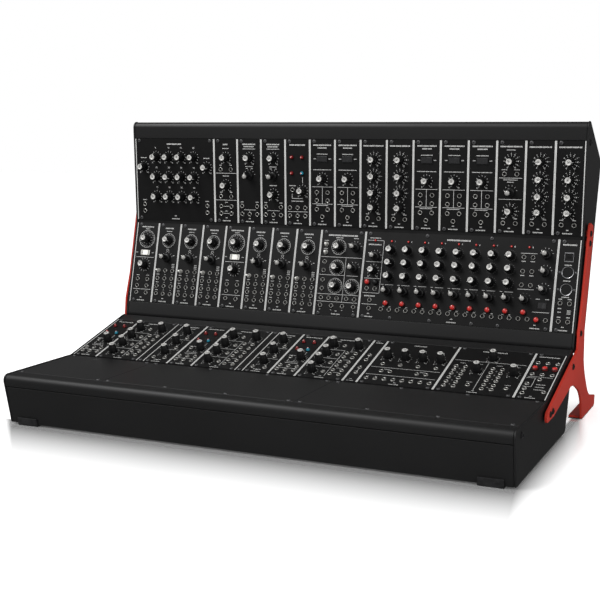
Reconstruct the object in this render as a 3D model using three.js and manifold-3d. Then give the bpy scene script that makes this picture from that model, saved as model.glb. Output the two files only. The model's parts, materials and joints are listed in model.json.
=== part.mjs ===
// Modular synthesizer: two sheet metal cases of 140 HP by two rows, the upper one tilted back
// on a pair of bolted steel stands. Millimetres, X to the right, Y to the rear, Z up.
// The origin is on the floor, under the middle of the instrument.
import * as THREE from "three";
import { mergeVertices } from "three/addons/utils/BufferGeometryUtils.js";
import Module from "manifold-3d";

const wasm = await Module();
wasm.setup();

// Rack standard
const hp = 5.08;
const rowHp = 140;
const panelHeight = 128.5;
const panelThickness = 2;
const panelSideGap = 0.15;

// Clearances
const fit = 0.3;
const overrun = 1;
const overlap = 0.5;

// Case section
const wall = 2;
const cheekThickness = 2.7;
const panelLevel = 69.5;
const frontLip = 13.1;
const frontReach = 12;
const rearLip = 25;
const rollRadius = 8;
const lipThickness = 18;
const kinkGap = 2.4;
const rearLean = 27;
const rearChamfer = 4;
const grooveDepth = 3;
const grooveHeight = 1.2;
const cheekRise = 0.8;
const rowTilt = THREE.MathUtils.degToRad(15.4);

// Pose of the upper case over the lower one
const caseTilt = THREE.MathUtils.degToRad(75.44);
const caseGap = 4.1;
const caseGapHeading = THREE.MathUtils.degToRad(28.5);

// Rubber feet under the lower case
const footHeight = 2.5;
const footLength = 32;
const footInset = 14;
const footDepth = 20;
const footLip = 9;
const footLipThickness = 2;
const rearFootSetback = 8;

// Rails and their end brackets
const railWidth = 7;
const railDepth = 8;
const railEdge = 0.5;
const bracketThickness = 2;
const bracketDepth = 14;

// Boards behind the panels
const boardDrop = 14;
const boardThickness = 1.6;
const boardInset = 3;
const boardMargin = 11;
const pillarWidth = 6;

// Power board on the floor of each case
const powerBoardLength = 560;
const powerBoardFront = 40;
const powerBoardRear = 236;
const powerBoardRise = 4;
const powerStudRadius = 3;
const headerLength = 20;
const headerWidth = 9;
const headerHeight = 9;
const headerCount = 9;
const headerRowShares = [0.3, 0.6];

// Power inlet and its rocker in the rear wall
const inletEdge = 18;
const inletHeight = 34;
const inletWidth = 15;
const inletBody = 14;
const inletBore = 5;
const inletDepth = 14;
const inletProud = 1;
const inletLegWidth = 5;
const powerRockerSpacing = 28;
const powerRockerLength = 19;
const powerRockerWidth = 13;

// Steel stand
const steel = 3;
const standGap = 0.2;
const armSetback = 4.4;
const armWidth = 31;
const upperArmPastKink = 23;
const armCorner = 9;
const shoulderTop = 60;
const shoulderMiddle = 19;
const shoulderReach = 4;
const shoulderFoot = 8;
const shoulderRise = 0.9;
const lowerArmDrop = 3.4;
const tipRadius = 7.2;
const tipLead = 19.5;
const armUnderNear = { along: 12, drop: 26 };
const armUnderFar = { along: 113, drop: 36.3 };
const archCrown = { lead: 17, rise: 62 };
const archShoulder = { lead: 57, rise: 45 };
const archHaunch = { lead: 78, rise: 22.3 };
const archSpan = 84.6;
const standFootLength = 95.4;
const heelHeight = 14;
const heelTop = { lead: 42, rise: 23 };
const legFoot = { lead: 61, rise: 33.3 };
const legBack = { lead: 88.8, rise: 63.8 };
const legWaist = { lead: 100.7, rise: 85.3 };
const legJoin = 30;
const flangeWidth = 19.5;
const flangeFront = 4;
const flangeRear = 3;
const padThickness = 1.2;
const screwHeadRadius = 4.2;
const screwHeadHeight = 2;
const spacerRadius = 5;
const spacerLength = 2.3;
const screwSides = 10;

// Screw places along the case section, from the kink between its two rows or from the front lip
const rearScrewAlong = 127.9;
const rearScrewDrop = 14;
const middleScrewAlong = 5.1;
const middleScrewDrop = 15.4;
const nearScrewAlong = 8.2;
const nearScrewDrop = 12.8;
const frontScrewLead = 1.9;
const frontScrewDrop = 10.5;

// Knobs and switches
const knobHeight = 14;
const knobSkirt = 6;
const knobCap = 4.6;
const knobSkirtHeight = 9;
const fixedSides = 8;
const movingSides = 16;
const shaftRadius = 3;
const potTop = 6;
const potWidth = 9;
const selectorHeight = 20;
const selectorSkirt = 6.5;
const selectorCap = 3.4;
const selectorSkirtHeight = 5;
const pointerWidth = 3;
const lampRadius = 3.2;
const lampHeight = 4.6;
const rockerLength = 15.6;
const rockerWidth = 8;
const rockerProud = 2;
const rockerDepth = 3.5;
const rockerSwing = 0.8;
const smallRockerLength = 11;
const toggleNutRadius = 3.6;
const toggleNutHeight = 3;
const toggleBore = 2.2;
const toggleLeverRadius = 1.4;
const toggleLeverHeight = 11;
const toggleLeverDepth = 1;
const buttonRadius = 4.1;
const buttonProud = 5;
const buttonFlange = 0.8;
const buttonFlangeThickness = 1;
const buttonTravel = 1.5;

// Sockets of the interface panel
const usbWidth = 12.5;
const usbHeight = 11.5;
const usbRim = 2;
const dinRadius = 8.5;
const dinRim = 1.8;
const dinDepth = 9;
const socketProud = 1;
const socketShares = { x: 0.514, usb: 0.809, dinHigh: 0.645, dinLow: 0.46 };

// Places of the inlet and the rocker across the rear wall
const inletX = powerBoardLength / 2 - inletEdge;
const powerRockerX = inletX - powerRockerSpacing;

// Derived places in the section of a case, from its front bottom corner
const rowWidth = hp * rowHp;
const trayHalf = rowWidth / 2;
const cheekInner = trayHalf + fit;
const cheekOuter = cheekInner + cheekThickness;
const frontRow = { y: frontLip, z: panelLevel, tilt: 0 };
const kink = { y: frontLip + panelHeight + kinkGap, z: panelLevel };
const slopePoint = (along, out) => turned(along, out, rowTilt, kink);
const slopeStart = slopePoint(kinkGap, 0);
const slopeRow = { y: slopeStart.y, z: slopeStart.z, tilt: rowTilt };
const slopeEnd = kinkGap + panelHeight;
const lipEnd = slopeEnd + rearLip;
const rearRoll = slopePoint(lipEnd - rollRadius, -rollRadius);
const frontRoll = { y: rollRadius - frontReach, z: panelLevel - rollRadius };
const caseDepth = slopePoint(lipEnd, 0).y - rearLean;
const frontGroove = frontRoll.z - rollRadius;

// Pose of the upper case: its front roll lies just over the rear roll of the lower case
const rollSpacing = rollRadius + rollRadius + caseGap;
const upperRollTurned = turned(frontRoll.y, frontRoll.z, caseTilt, { y: 0, z: 0 });
const upperCase = {
  y: rearRoll.y + rollSpacing * Math.cos(caseGapHeading) - upperRollTurned.y,
  z: rearRoll.z + rollSpacing * Math.sin(caseGapHeading) - upperRollTurned.z,
};
const upperPoint = (along, out) => turned(along, out, caseTilt, upperCase);

// Stand foot, and the middle of the whole footprint
const standFoot = caseDepth + archSpan;
const standHeel = standFoot + standFootLength;
const footprintMiddle = (standHeel - frontReach - cheekRise) / 2;
const standBottom = padThickness + fit - footHeight;
const spacerInner = cheekOuter + standGap;
const standInner = spacerInner + spacerLength;
const standOuter = standInner + steel;

// Turns a point of a section by an angle and moves it to a place.
function turned(along, out, angle, place) {
  const cos = Math.cos(angle);
  const sin = Math.sin(angle);
  return { y: place.y + along * cos - out * sin, z: place.z + along * sin + out * cos };
}

// Solid for joins and cuts, from a closed three.js geometry.
function toSolid(geometry) {
  const bare = geometry.index ? geometry.toNonIndexed() : geometry.clone();
  bare.deleteAttribute("normal");
  bare.deleteAttribute("uv");
  const merged = mergeVertices(bare);
  const vertProperties = merged.attributes.position.array;
  const triVerts = Uint32Array.from(merged.index.array);
  return new wasm.Manifold(new wasm.Mesh({ numProp: 3, vertProperties, triVerts }));
}

// Geometry of a solid.
function toGeometry(solid) {
  const mesh = solid.getMesh();
  const geometry = new THREE.BufferGeometry();
  geometry.setAttribute("position", new THREE.BufferAttribute(mesh.vertProperties, mesh.numProp));
  geometry.setIndex(new THREE.BufferAttribute(mesh.triVerts, 1));
  geometry.computeVertexNormals();
  return geometry;
}

function join(solids) {
  return solids.reduce((whole, solid) => whole.add(solid));
}

function cut(solid, tools) {
  return tools.reduce((whole, tool) => whole.subtract(tool), solid);
}

// Box between two corners.
function block(x, y, z) {
  const geometry = new THREE.BoxGeometry(x[1] - x[0], y[1] - y[0], z[1] - z[0]);
  geometry.translate((x[0] + x[1]) / 2, (y[0] + y[1]) / 2, (z[0] + z[1]) / 2);
  return toSolid(geometry);
}

// Upright round piece: its radius at the bottom and at the top, its two heights and its place.
function post(bottomRadius, topRadius, heights, place, sides) {
  const tall = heights[1] - heights[0];
  const geometry = new THREE.CylinderGeometry(topRadius, bottomRadius, tall, sides);
  geometry.rotateX(Math.PI / 2);
  geometry.rotateZ(Math.PI / sides);
  geometry.translate(place.x, place.y, (heights[0] + heights[1]) / 2);
  return toSolid(geometry);
}

// Section in the Y and Z plane, drawn out along X.
function alongX(outline, from, to) {
  const geometry = new THREE.ExtrudeGeometry(outline, {
    depth: to - from,
    bevelEnabled: false,
    curveSegments: 6,
  });
  const toY = new THREE.Vector3(0, 1, 0);
  const toZ = new THREE.Vector3(0, 0, 1);
  const toX = new THREE.Vector3(1, 0, 0);
  geometry.applyMatrix4(new THREE.Matrix4().makeBasis(toY, toZ, toX));
  geometry.translate(from, 0, 0);
  return toSolid(geometry);
}

function outlineOf(points) {
  return new THREE.Shape(points.map((point) => new THREE.Vector2(point.y, point.z)));
}

// Points of an arc round a centre, from one angle to another.
function arc(centre, radius, from, to, steps) {
  return Array.from({ length: steps + 1 }, (_, step) => {
    const angle = from + ((to - from) * step) / steps;
    return { y: centre.y + radius * Math.cos(angle), z: centre.z + radius * Math.sin(angle) };
  });
}

// Angle of the point where a line from outside touches a circle; side is 1 or -1.
function touchAngle(point, centre, radius, side) {
  const heading = Math.atan2(point.z - centre.z, point.y - centre.y);
  const reach = Math.hypot(point.z - centre.z, point.y - centre.y);
  return heading + side * Math.acos(radius / reach);
}

// Moves a solid from the plane of a row to its case.
function placed(solid, matrix) {
  const geometry = toGeometry(solid);
  geometry.applyMatrix4(matrix);
  return toSolid(geometry);
}

// Materials
function paint(colour, roughness, metalness) {
  return new THREE.MeshStandardMaterial({ color: colour, roughness, metalness });
}
const blackPaint = () => paint(0x202020, 0.55, 0.2);
const panelPaint = () => paint(0x161616, 0.5, 0.3);
const redPaint = () => paint(0xa52a1e, 0.45, 0.2);
const rubber = () => paint(0x0d0d0d, 0.9, 0);
const aluminium = () => paint(0xb0b2b5, 0.4, 0.9);
const circuitBoard = () => paint(0x123a24, 0.6, 0.1);
const silverKnob = () => paint(0xc8c8c8, 0.35, 0.7);
const blackPlastic = () => paint(0x101010, 0.5, 0);
const whitePlastic = () => paint(0xe6e6e2, 0.4, 0);
const redPlastic = () => paint(0xc8201a, 0.4, 0);

// Point where the line through a and b crosses the line through c and d.
function meet(a, b, c, d) {
  const ab = { y: b.y - a.y, z: b.z - a.z };
  const cd = { y: d.y - c.y, z: d.z - c.z };
  const cross = ab.y * cd.z - ab.z * cd.y;
  const share = ((c.y - a.y) * cd.z - (c.z - a.z) * cd.y) / cross;
  return { y: a.y + ab.y * share, z: a.z + ab.z * share };
}

// Section of a case
const frontCorner = { y: 0, z: 0 };
const rearCorner = { y: caseDepth, z: rearChamfer };
const rearTouch = touchAngle(rearCorner, rearRoll, rollRadius, 1);
const frontTouch = touchAngle(frontCorner, frontRoll, rollRadius, -1) + Math.PI * 2;
const rearOut = { y: Math.cos(rearTouch), z: Math.sin(rearTouch) };
const frontOut = { y: Math.cos(frontTouch), z: Math.sin(frontTouch) };
const rollSteps = 5;
const archSteps = 12;

function offset(point, direction, distance) {
  return { y: point.y + direction.y * distance, z: point.z + direction.z * distance };
}

// Outer line of the section from the front corner round the bottom to the two rolls.
function rearLine(radius) {
  const bottom = [frontCorner, { y: caseDepth - rearChamfer, z: 0 }, rearCorner];
  return bottom.concat(arc(rearRoll, radius, rearTouch, Math.PI / 2 + rowTilt, rollSteps));
}

function frontLine(radius) {
  return arc(frontRoll, radius, Math.PI / 2, frontTouch, rollSteps);
}

// End cheek: a flat plate with the whole section of the case, a little proud of the panels.
function endCheek(from, to) {
  const radius = rollRadius + cheekRise;
  const valley = { y: kink.y - cheekRise * Math.tan(rowTilt / 2), z: kink.z + cheekRise };
  const outline = outlineOf([...rearLine(radius), valley, ...frontLine(radius)]);
  return alongX(outline, from, to);
}

// Tray: front wall, floor and rear wall in one folded sheet with a solid rolled lip on each end.
function trayShell() {
  const lipFloor = panelLevel - lipThickness;
  const rearLipStart = slopeEnd + fit;
  const rearTop = slopePoint(rearLipStart, 0);
  const rearUnder = slopePoint(rearLipStart, -lipThickness);
  const rearFar = slopePoint(lipEnd, -lipThickness);
  const rearInside = offset(rearCorner, rearOut, -wall);
  const rearInsideTop = offset(rearRoll, rearOut, rollRadius - wall);
  const frontInside = offset(frontCorner, frontOut, -wall);
  const frontInsideTop = offset(frontRoll, frontOut, rollRadius - wall);
  const floorNear = { y: 0, z: wall };
  const floorFar = { y: caseDepth, z: wall };
  const lipNear = { y: 0, z: lipFloor };
  const lipFar = { y: frontLip - fit, z: lipFloor };
  const outline = outlineOf([
    ...rearLine(rollRadius),
    rearTop,
    rearUnder,
    meet(rearUnder, rearFar, rearInside, rearInsideTop),
    meet(rearInside, rearInsideTop, floorNear, floorFar),
    meet(frontInside, frontInsideTop, floorNear, floorFar),
    meet(frontInside, frontInsideTop, lipNear, lipFar),
    lipFar,
    { y: frontLip - fit, z: panelLevel },
    ...frontLine(rollRadius),
  ]);
  return alongX(outline, -trayHalf, trayHalf);
}

// Groove under the front roll, where the roll meets the wall.
function frontGrooveTool() {
  const front = frontRoll.y - rollRadius - overrun;
  const rear = frontRoll.y - rollRadius + grooveDepth + overlap;
  const x = [-trayHalf - overrun, trayHalf + overrun];
  return block(x, [front, rear], [frontGroove - grooveHeight, frontGroove]);
}

// Tunnels that run through the two lips from end to end, as in a folded or drawn lip.
function lipTunnels() {
  const low = panelLevel - lipThickness + wall;
  const high = panelLevel - wall;
  const x = [-trayHalf - overrun, trayHalf + overrun];
  const front = block(x, [frontRoll.y, frontLip - fit - wall], [low, high]);
  const rear = block(x, [slopeEnd + fit + wall, lipEnd - rollRadius], [wall - lipThickness, -wall]);
  const slope = new THREE.Matrix4().makeRotationX(rowTilt).setPosition(0, kink.y, kink.z);
  return [front, placed(rear, slope)];
}

// Frame on the rear wall: X to the left, Y up along the wall and Z out of the case.
function rearWallFrame() {
  const left = new THREE.Vector3(-1, 0, 0);
  const up = new THREE.Vector3(0, -rearOut.z, rearOut.y);
  const out = new THREE.Vector3(0, rearOut.y, rearOut.z);
  const frame = new THREE.Matrix4().makeBasis(left, up, out);
  return frame.setPosition(0, rearCorner.y, rearCorner.z);
}

// Box round a place on the rear wall.
function wallBlock(x, up, width, height, out) {
  return block([x - width / 2, x + width / 2], [up - height / 2, up + height / 2], out);
}

function wallCutouts() {
  const through = [-wall - overrun, overrun];
  const inletHole = [inletWidth + fit * 2, inletBody + fit * 2];
  const rockerHole = [powerRockerWidth + fit * 2, powerRockerLength + rockerSwing * 2];
  return [
    wallBlock(inletX, inletHeight, inletHole[0], inletHole[1], through),
    wallBlock(powerRockerX, inletHeight, rockerHole[0], rockerHole[1], through),
  ].map((tool) => placed(tool, rearWallFrame()));
}

function caseTray() {
  return cut(trayShell(), [frontGrooveTool(), ...lipTunnels(), ...wallCutouts()]);
}

// Rocker that switches the power, in the rear wall.
function powerRocker() {
  const out = [-rockerDepth, rockerProud];
  const rocker = wallBlock(powerRockerX, inletHeight, powerRockerWidth, powerRockerLength, out);
  return placed(rocker, rearWallFrame());
}

// Rail frame: four threaded rails that carry the panels, between two end brackets.
function railAt(row, from, side) {
  const x = [-trayHalf + fit * 2, trayHalf - fit * 2];
  const start = from + side * railEdge;
  const along = side > 0 ? [start, start + railWidth] : [start - railWidth, start];
  const top = -panelThickness - fit;
  return placed(block(x, along, [top - railDepth, top]), rowFrame(row));
}

function rowFrame(row) {
  const frame = new THREE.Matrix4().makeRotationX(row.tilt);
  return frame.setPosition(0, row.y, row.z);
}

function endBracket(from, to) {
  const top = -panelThickness - fit;
  const low = top - bracketDepth;
  const front = turned(railEdge, low, frontRow.tilt, frontRow);
  const frontTop = turned(railEdge, top, frontRow.tilt, frontRow);
  const topLine = [slopePoint(slopeEnd - railEdge, top), slopePoint(0, top)];
  const lowLine = [slopePoint(0, low), slopePoint(slopeEnd - railEdge, low)];
  const level = (height) => ({ y: kink.y, z: kink.z + height });
  const valleyTop = meet(topLine[0], topLine[1], frontTop, level(top));
  const valleyLow = meet(lowLine[0], lowLine[1], front, level(low));
  const outline = outlineOf([front, valleyLow, lowLine[1], topLine[0], valleyTop, frontTop]);
  return alongX(outline, from, to);
}

function railFrame() {
  const end = trayHalf - fit;
  return join([
    endBracket(-end, -end + bracketThickness),
    endBracket(end - bracketThickness, end),
    railAt(frontRow, 0, 1),
    railAt(frontRow, panelHeight, -1),
    railAt(slopeRow, 0, 1),
    railAt(slopeRow, panelHeight, -1),
  ]);
}

// Power board on the tray's floor: its headers, studs and the inlet it holds in the rear wall.
function powerBoard() {
  const half = powerBoardLength / 2;
  const y = [powerBoardFront, powerBoardRear];
  const z = [powerBoardRise, powerBoardRise + boardThickness];
  const pieces = [block([-half, half], y, z)];
  const pitch = powerBoardLength / headerCount;
  for (let index = 0; index < headerCount; index += 1) {
    const middle = (index + 0.5) * pitch - half;
    for (const share of headerRowShares) {
      const centre = y[0] + (y[1] - y[0]) * share;
      const x = [middle - headerLength / 2, middle + headerLength / 2];
      const width = [centre - headerWidth / 2, centre + headerWidth / 2];
      pieces.push(block(x, width, [z[1] - overlap, z[1] + headerHeight]));
    }
  }
  for (const side of [-1, 1]) {
    for (const edge of [y[0] + headerWidth, y[1] - headerWidth]) {
      const place = { x: side * (half - headerWidth), y: edge };
      const heights = [wall + fit, z[0] + overlap];
      pieces.push(post(powerStudRadius, powerStudRadius, heights, place, fixedSides));
    }
  }
  pieces.push(...inletOnBoard(y[1], z));
  return join(pieces);
}

function inletOnBoard(boardRear, boardHeights) {
  const out = [-inletDepth, inletProud];
  const housing = wallBlock(inletX, inletHeight, inletWidth, inletBody, out);
  const bore = post(
    inletBore,
    inletBore,
    [-inletDepth + wall, inletProud + overrun],
    { x: inletX, y: inletHeight },
    movingSides,
  );
  const middle = rearWallPoint(inletHeight, -inletDepth);
  const x = [-inletX - inletLegWidth, -inletX + inletLegWidth];
  const back = [boardRear - inletLegWidth, boardRear];
  const shelf = [middle.z - inletLegWidth / 2, middle.z + inletLegWidth / 2];
  return [
    placed(housing.subtract(bore), rearWallFrame()),
    block(x, back, [boardHeights[0], shelf[1]]),
    block(x, [back[0], middle.y + wall / 2], shelf),
  ];
}

function rearWallPoint(up, out) {
  const wallUp = { y: -rearOut.z, z: rearOut.y };
  return offset(offset(rearCorner, wallUp, up), rearOut, out);
}

// Rubber feet
function frontFoot(from, to) {
  const bottom = -fit;
  const lipTop = meet(
    { y: 0, z: footLip },
    { y: caseDepth, z: footLip },
    offset(frontCorner, frontOut, fit),
    offset(frontRoll, frontOut, rollRadius + fit),
  );
  const outerTop = offset(lipTop, frontOut, footLipThickness);
  const outerBottom = offset({ y: 0, z: 0 }, frontOut, footLipThickness);
  const outline = outlineOf([
    { y: outerBottom.y, z: -footHeight },
    { y: footDepth, z: -footHeight },
    { y: footDepth, z: bottom },
    offset({ y: 0, z: bottom }, frontOut, fit),
    lipTop,
    outerTop,
  ]);
  return alongX(outline, from, to);
}

function rearFoot(from, to) {
  const rear = caseDepth - rearChamfer - rearFootSetback;
  return block([from, to], [rear - footDepth, rear], [-footHeight, -fit]);
}

// Steel stand: one bent plate for each end of the two cases.
function upperArm() {
  const front = panelLevel - armSetback;
  const back = front - armWidth;
  const end = kink.y + upperArmPastKink;
  return [
    upperPoint(legJoin, back),
    upperPoint(end - armCorner, back),
    upperPoint(end, back + armCorner),
    upperPoint(end, front - armCorner / 2),
    upperPoint(end - armCorner / 2, front),
    upperPoint(shoulderTop, front),
    upperPoint(shoulderMiddle, front + shoulderReach),
    upperPoint(-shoulderFoot, front + shoulderRise),
  ];
}

function lowerArm() {
  const tipCentre = slopePoint(-tipLead, -lowerArmDrop - tipRadius);
  const tipStart = Math.PI / 2 + rowTilt;
  return [
    ...arc(tipCentre, tipRadius, tipStart, tipStart + Math.PI, rollSteps),
    slopePoint(armUnderNear.along, -armUnderNear.drop),
    slopePoint(armUnderFar.along, -armUnderFar.drop),
  ];
}

// Smooth line through places given by their distance from a start and their height.
function smoothLine(start, side, places, steps) {
  const knots = places.map(({ lead, rise }) => new THREE.Vector2(start + side * lead, rise));
  return new THREE.SplineCurve(knots).getPoints(steps).map(({ x, y }) => ({ y: x, z: y }));
}

function standArch() {
  const foot = { lead: archSpan, rise: standBottom };
  return smoothLine(caseDepth, 1, [archCrown, archShoulder, archHaunch, foot], archSteps);
}

function standLeg() {
  return smoothLine(standHeel, -1, [heelTop, legFoot, legBack, legWaist], archSteps);
}

function standPlate(from, to) {
  const heel = [
    { y: standHeel, z: standBottom },
    { y: standHeel, z: heelHeight },
  ];
  const outline = [...standArch(), ...heel, ...standLeg(), ...upperArm(), ...lowerArm()];
  return alongX(outlineOf(outline), from, to);
}

// Screw places on the ends of the cases, as points of the section of the lower case
function screwPlaces() {
  const rear = slopePoint(rearScrewAlong, -rearScrewDrop);
  const middle = slopePoint(middleScrewAlong, -middleScrewDrop);
  const near = slopePoint(-nearScrewAlong, -nearScrewDrop);
  const front = { y: frontLip + frontScrewLead, z: panelLevel - frontScrewDrop };
  return { rear, middle, near, front };
}

function standScrewPlaces() {
  const { rear, middle, near, front } = screwPlaces();
  const upper = [middle, near, front].map((place) => upperPoint(place.y, place.z));
  return [rear, middle, near, ...upper];
}

// Disc on a screw place, used for the screw heads and for the spacers behind the plate
function screwDisc(place, radius, from, to) {
  const ring = arc(place, radius, 0, Math.PI * 2, screwSides).slice(1);
  return alongX(outlineOf(ring), from, to);
}

// One stand: plate, flange along the floor, heads of its screws and spacers; side is 1 or -1.
function stand(side) {
  const across = (near, far) => (side > 0 ? [near, far] : [-far, -near]);
  const plate = standPlate(...across(standInner, standOuter));
  const flangeX = across(standOuter - flangeWidth, standOuter - overlap);
  const flangeY = [standFoot + flangeFront, standHeel - flangeRear];
  const flange = block(flangeX, flangeY, [standBottom, standBottom + steel]);
  const headX = across(standOuter - overlap, standOuter + screwHeadHeight);
  const spacerX = across(spacerInner, standInner + overlap);
  const places = standScrewPlaces();
  const heads = places.map((place) => screwDisc(place, screwHeadRadius, ...headX));
  const spacers = places.map((place) => screwDisc(place, spacerRadius, ...spacerX));
  return join([plate, flange, ...heads, ...spacers]);
}

function standPad(side) {
  const far = standOuter - fit;
  const x = side > 0 ? [standOuter - flangeWidth, far] : [-far, flangeWidth - standOuter];
  const y = [standFoot + flangeFront, standHeel - flangeRear];
  return block(x, y, [-footHeight, -footHeight + padThickness]);
}

// Layouts: what stands on a panel, with its place as shares of the panel's width and height.
const atHeights = (kind, x, heights) => heights.map((height) => [kind, x, height]);
const thirdsShares = [0.781, 0.57, 0.363, 0.151];
const tripleShares = [0.781, 0.514, 0.246];
const bankShares = { x: [0.264, 0.423, 0.582, 0.742], y: [0.778, 0.537, 0.296] };
const stepStartShare = 0.1455;
const stepPitchShare = 0.08914;
const stepShares = { knobs: [0.798, 0.649, 0.496], selector: 0.327, button: 0.19 };
const stepCount = 8;

function sequencerControls() {
  const controls = [
    ["selector", 0.063, 0.716],
    ["knob", 0.058, 0.556],
    ["button", 0.0334, 0.42],
    ["button", 0.0773, 0.42],
    ...atHeights("selector", 0.946, [0.825, 0.638, 0.444]),
    ["smallRocker", 0.949, 0.272],
    ["button", 0.926, 0.118],
  ];
  for (let step = 0; step <= stepCount; step += 1) {
    const x = stepStartShare + step * stepPitchShare;
    const knobs = step < stepCount ? atHeights("knob", x, stepShares.knobs) : [];
    controls.push(["selector", x, stepShares.selector], ["button", x, stepShares.button], ...knobs);
  }
  return controls;
}

const layoutShares = {
  filterBank: [
    ...bankShares.x.flatMap((x) => atHeights("knob", x, bankShares.y)),
    ["knob", 0.101, 0.658],
    ["knob", 0.906, 0.658],
  ],
  noiseFilter: atHeights("knob", 0.5, [0.778, 0.451]),
  highPass: [
    ["knob", 0.5, 0.778],
    ["selector", 0.5, 0.568],
  ],
  lowPass: [
    ["knob", 0.5, 0.778],
    ["selector", 0.5, 0.568],
    ["knob", 0.5, 0.355],
  ],
  controlVoltage: [
    ...atHeights("lamp", 0.283, [0.794, 0.61]),
    ...atHeights("lamp", 0.7, [0.794, 0.61]),
    ["knob", 0.7, 0.408],
  ],
  amplifier: [
    ["rocker", 0.5, 0.778],
    ["knob", 0.5, 0.553],
  ],
  envelope: atHeights("knob", 0.5, [0.778, 0.591, 0.409, 0.245]),
  triggerDelay: [
    ["knob", 0.5, 0.778],
    ["selector", 0.5, 0.448],
    ["knob", 0.5, 0.245],
  ],
  driver: [
    ["knob", 0.504, 0.794],
    ["rocker", 0.504, 0.623],
    ["knob", 0.504, 0.471],
  ],
  oscillator: [
    ["knob", 0.5, 0.786],
    ["selector", 0.5, 0.568],
    ["toggle", 0.185, 0.408],
  ],
  largeOscillator: [
    ...atHeights("toggle", 0.134, [0.833, 0.739]),
    ...atHeights("knob", 0.42, [0.805, 0.564, 0.35]),
    ["knob", 0.8, 0.35],
    ...atHeights("selector", 0.8, [0.805, 0.564]),
  ],
  sequencer: sequencerControls(),
  interface: [],
  mixer: [...atHeights("knob", 0.259, thirdsShares), ["knob", 0.8, 0.781]],
  attenuator: atHeights("knob", 0.5, tripleShares),
  multiple: [],
  fourKnobs: [0.159, 0.398, 0.637, 0.875].map((x) => ["knob", x, 0.619]),
  dualJacks: [
    ["knob", 0.508, 0.781],
    ["knob", 0.394, 0.482],
    ["knob", 0.862, 0.482],
  ],
  triggers: [0.209, 0.527, 0.851].map((x) => ["button", x, 0.64]),
  blank: [],
};

// Modules: row from the top, then each panel with its two ends in rack units and its layout.
// A loose control is a piece of its own: its name, its panel and its place in the layout.
const modules = [
  {
    name: "filter_bank",
    row: 1,
    panels: [[0, 28, "filterBank"]],
    loose: [["filter_bank_knob", 0, 5]],
  },
  { name: "noise_filter_module", row: 1, panels: [[28, 36, "noiseFilter"]], loose: [] },
  {
    name: "high_pass_module",
    row: 1,
    panels: [[36, 44, "highPass"]],
    loose: [["high_pass_selector", 0, 1]],
  },
  { name: "low_pass_module", row: 1, panels: [[44, 52, "lowPass"]], loose: [] },
  {
    name: "control_voltage_module",
    row: 1,
    panels: [[52, 60, "controlVoltage"]],
    loose: [["control_voltage_knob", 0, 4]],
  },
  {
    name: "amplifier_pair",
    row: 1,
    panels: [
      [60, 68, "amplifier"],
      [68, 76, "amplifier"],
    ],
    loose: [["amplifier_rocker", 0, 0]],
  },
  {
    name: "envelope_pair_left",
    row: 1,
    panels: [
      [76, 84, "envelope"],
      [84, 92, "envelope"],
    ],
    loose: [["envelope_knob", 0, 1]],
  },
  {
    name: "amplifier_trio",
    row: 1,
    panels: [
      [92, 100, "amplifier"],
      [100, 108, "amplifier"],
      [108, 116, "amplifier"],
    ],
    loose: [],
  },
  { name: "trigger_delay_module", row: 1, panels: [[116, 124, "triggerDelay"]], loose: [] },
  {
    name: "envelope_pair_right",
    row: 1,
    panels: [
      [124, 132, "envelope"],
      [132, 140, "envelope"],
    ],
    loose: [],
  },
  {
    name: "oscillator_bank_left",
    row: 2,
    panels: [
      [0, 8, "driver"],
      [8, 16, "oscillator"],
      [16, 24, "oscillator"],
      [24, 32, "oscillator"],
    ],
    loose: [
      ["oscillator_driver_knob", 0, 0],
      ["oscillator_driver_rocker", 0, 1],
    ],
  },
  {
    name: "oscillator_bank_right",
    row: 2,
    panels: [
      [32, 40, "driver"],
      [40, 48, "oscillator"],
      [48, 56, "oscillator"],
      [56, 64, "oscillator"],
    ],
    loose: [
      ["oscillator_selector", 1, 1],
      ["oscillator_toggle", 1, 2],
    ],
  },
  {
    name: "large_oscillator_module",
    row: 2,
    panels: [[64, 78, "largeOscillator"]],
    loose: [["large_oscillator_knob", 0, 2]],
  },
  {
    name: "sequencer_module",
    row: 2,
    panels: [[78, 134, "sequencer"]],
    loose: [
      ["sequencer_knob", 0, 11],
      ["sequencer_selector", 0, 9],
      ["sequencer_button", 0, 10],
      ["sequencer_rocker", 0, 7],
    ],
  },
  { name: "interface_module", row: 2, panels: [[134, 140, "interface"]], loose: [] },
  {
    name: "voltage_mixer_left",
    row: 3,
    panels: [
      [0, 8, "controlVoltage"],
      [8, 22, "mixer"],
      [22, 24, "blank"],
      [24, 32, "attenuator"],
    ],
    loose: [["mixer_knob", 1, 4]],
  },
  {
    name: "voltage_mixer_middle",
    row: 3,
    panels: [
      [32, 40, "controlVoltage"],
      [40, 54, "mixer"],
      [54, 56, "blank"],
      [56, 64, "attenuator"],
    ],
    loose: [],
  },
  {
    name: "voltage_mixer_right",
    row: 3,
    panels: [
      [64, 72, "controlVoltage"],
      [72, 86, "mixer"],
      [86, 90, "multiple"],
    ],
    loose: [],
  },
  { name: "four_knob_module", row: 3, panels: [[90, 111, "fourKnobs"]], loose: [] },
  { name: "dual_mixer_module", row: 3, panels: [[111, 132, "dualJacks"]], loose: [] },
  {
    name: "trigger_interface_module",
    row: 3,
    panels: [[132, 140, "triggers"]],
    loose: [["trigger_button", 0, 1]],
  },
];

const deckPanels = [
  ["deck_panel_left", 0, 28],
  ["deck_panel_middle", 28, 84],
  ["deck_panel_right", 84, 140],
];

// Controls. Each kind has a piece fixed to its panel, a loose piece, and the hole the loose one needs.

function round(place, radii, heights, sides) {
  return post(radii[0], radii[1], heights, place, sides);
}

function plainRocker(place, length, heights) {
  const x = [place.x - length / 2, place.x + length / 2];
  const y = [place.y - rockerWidth / 2, place.y + rockerWidth / 2];
  return block(x, y, heights);
}

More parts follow.
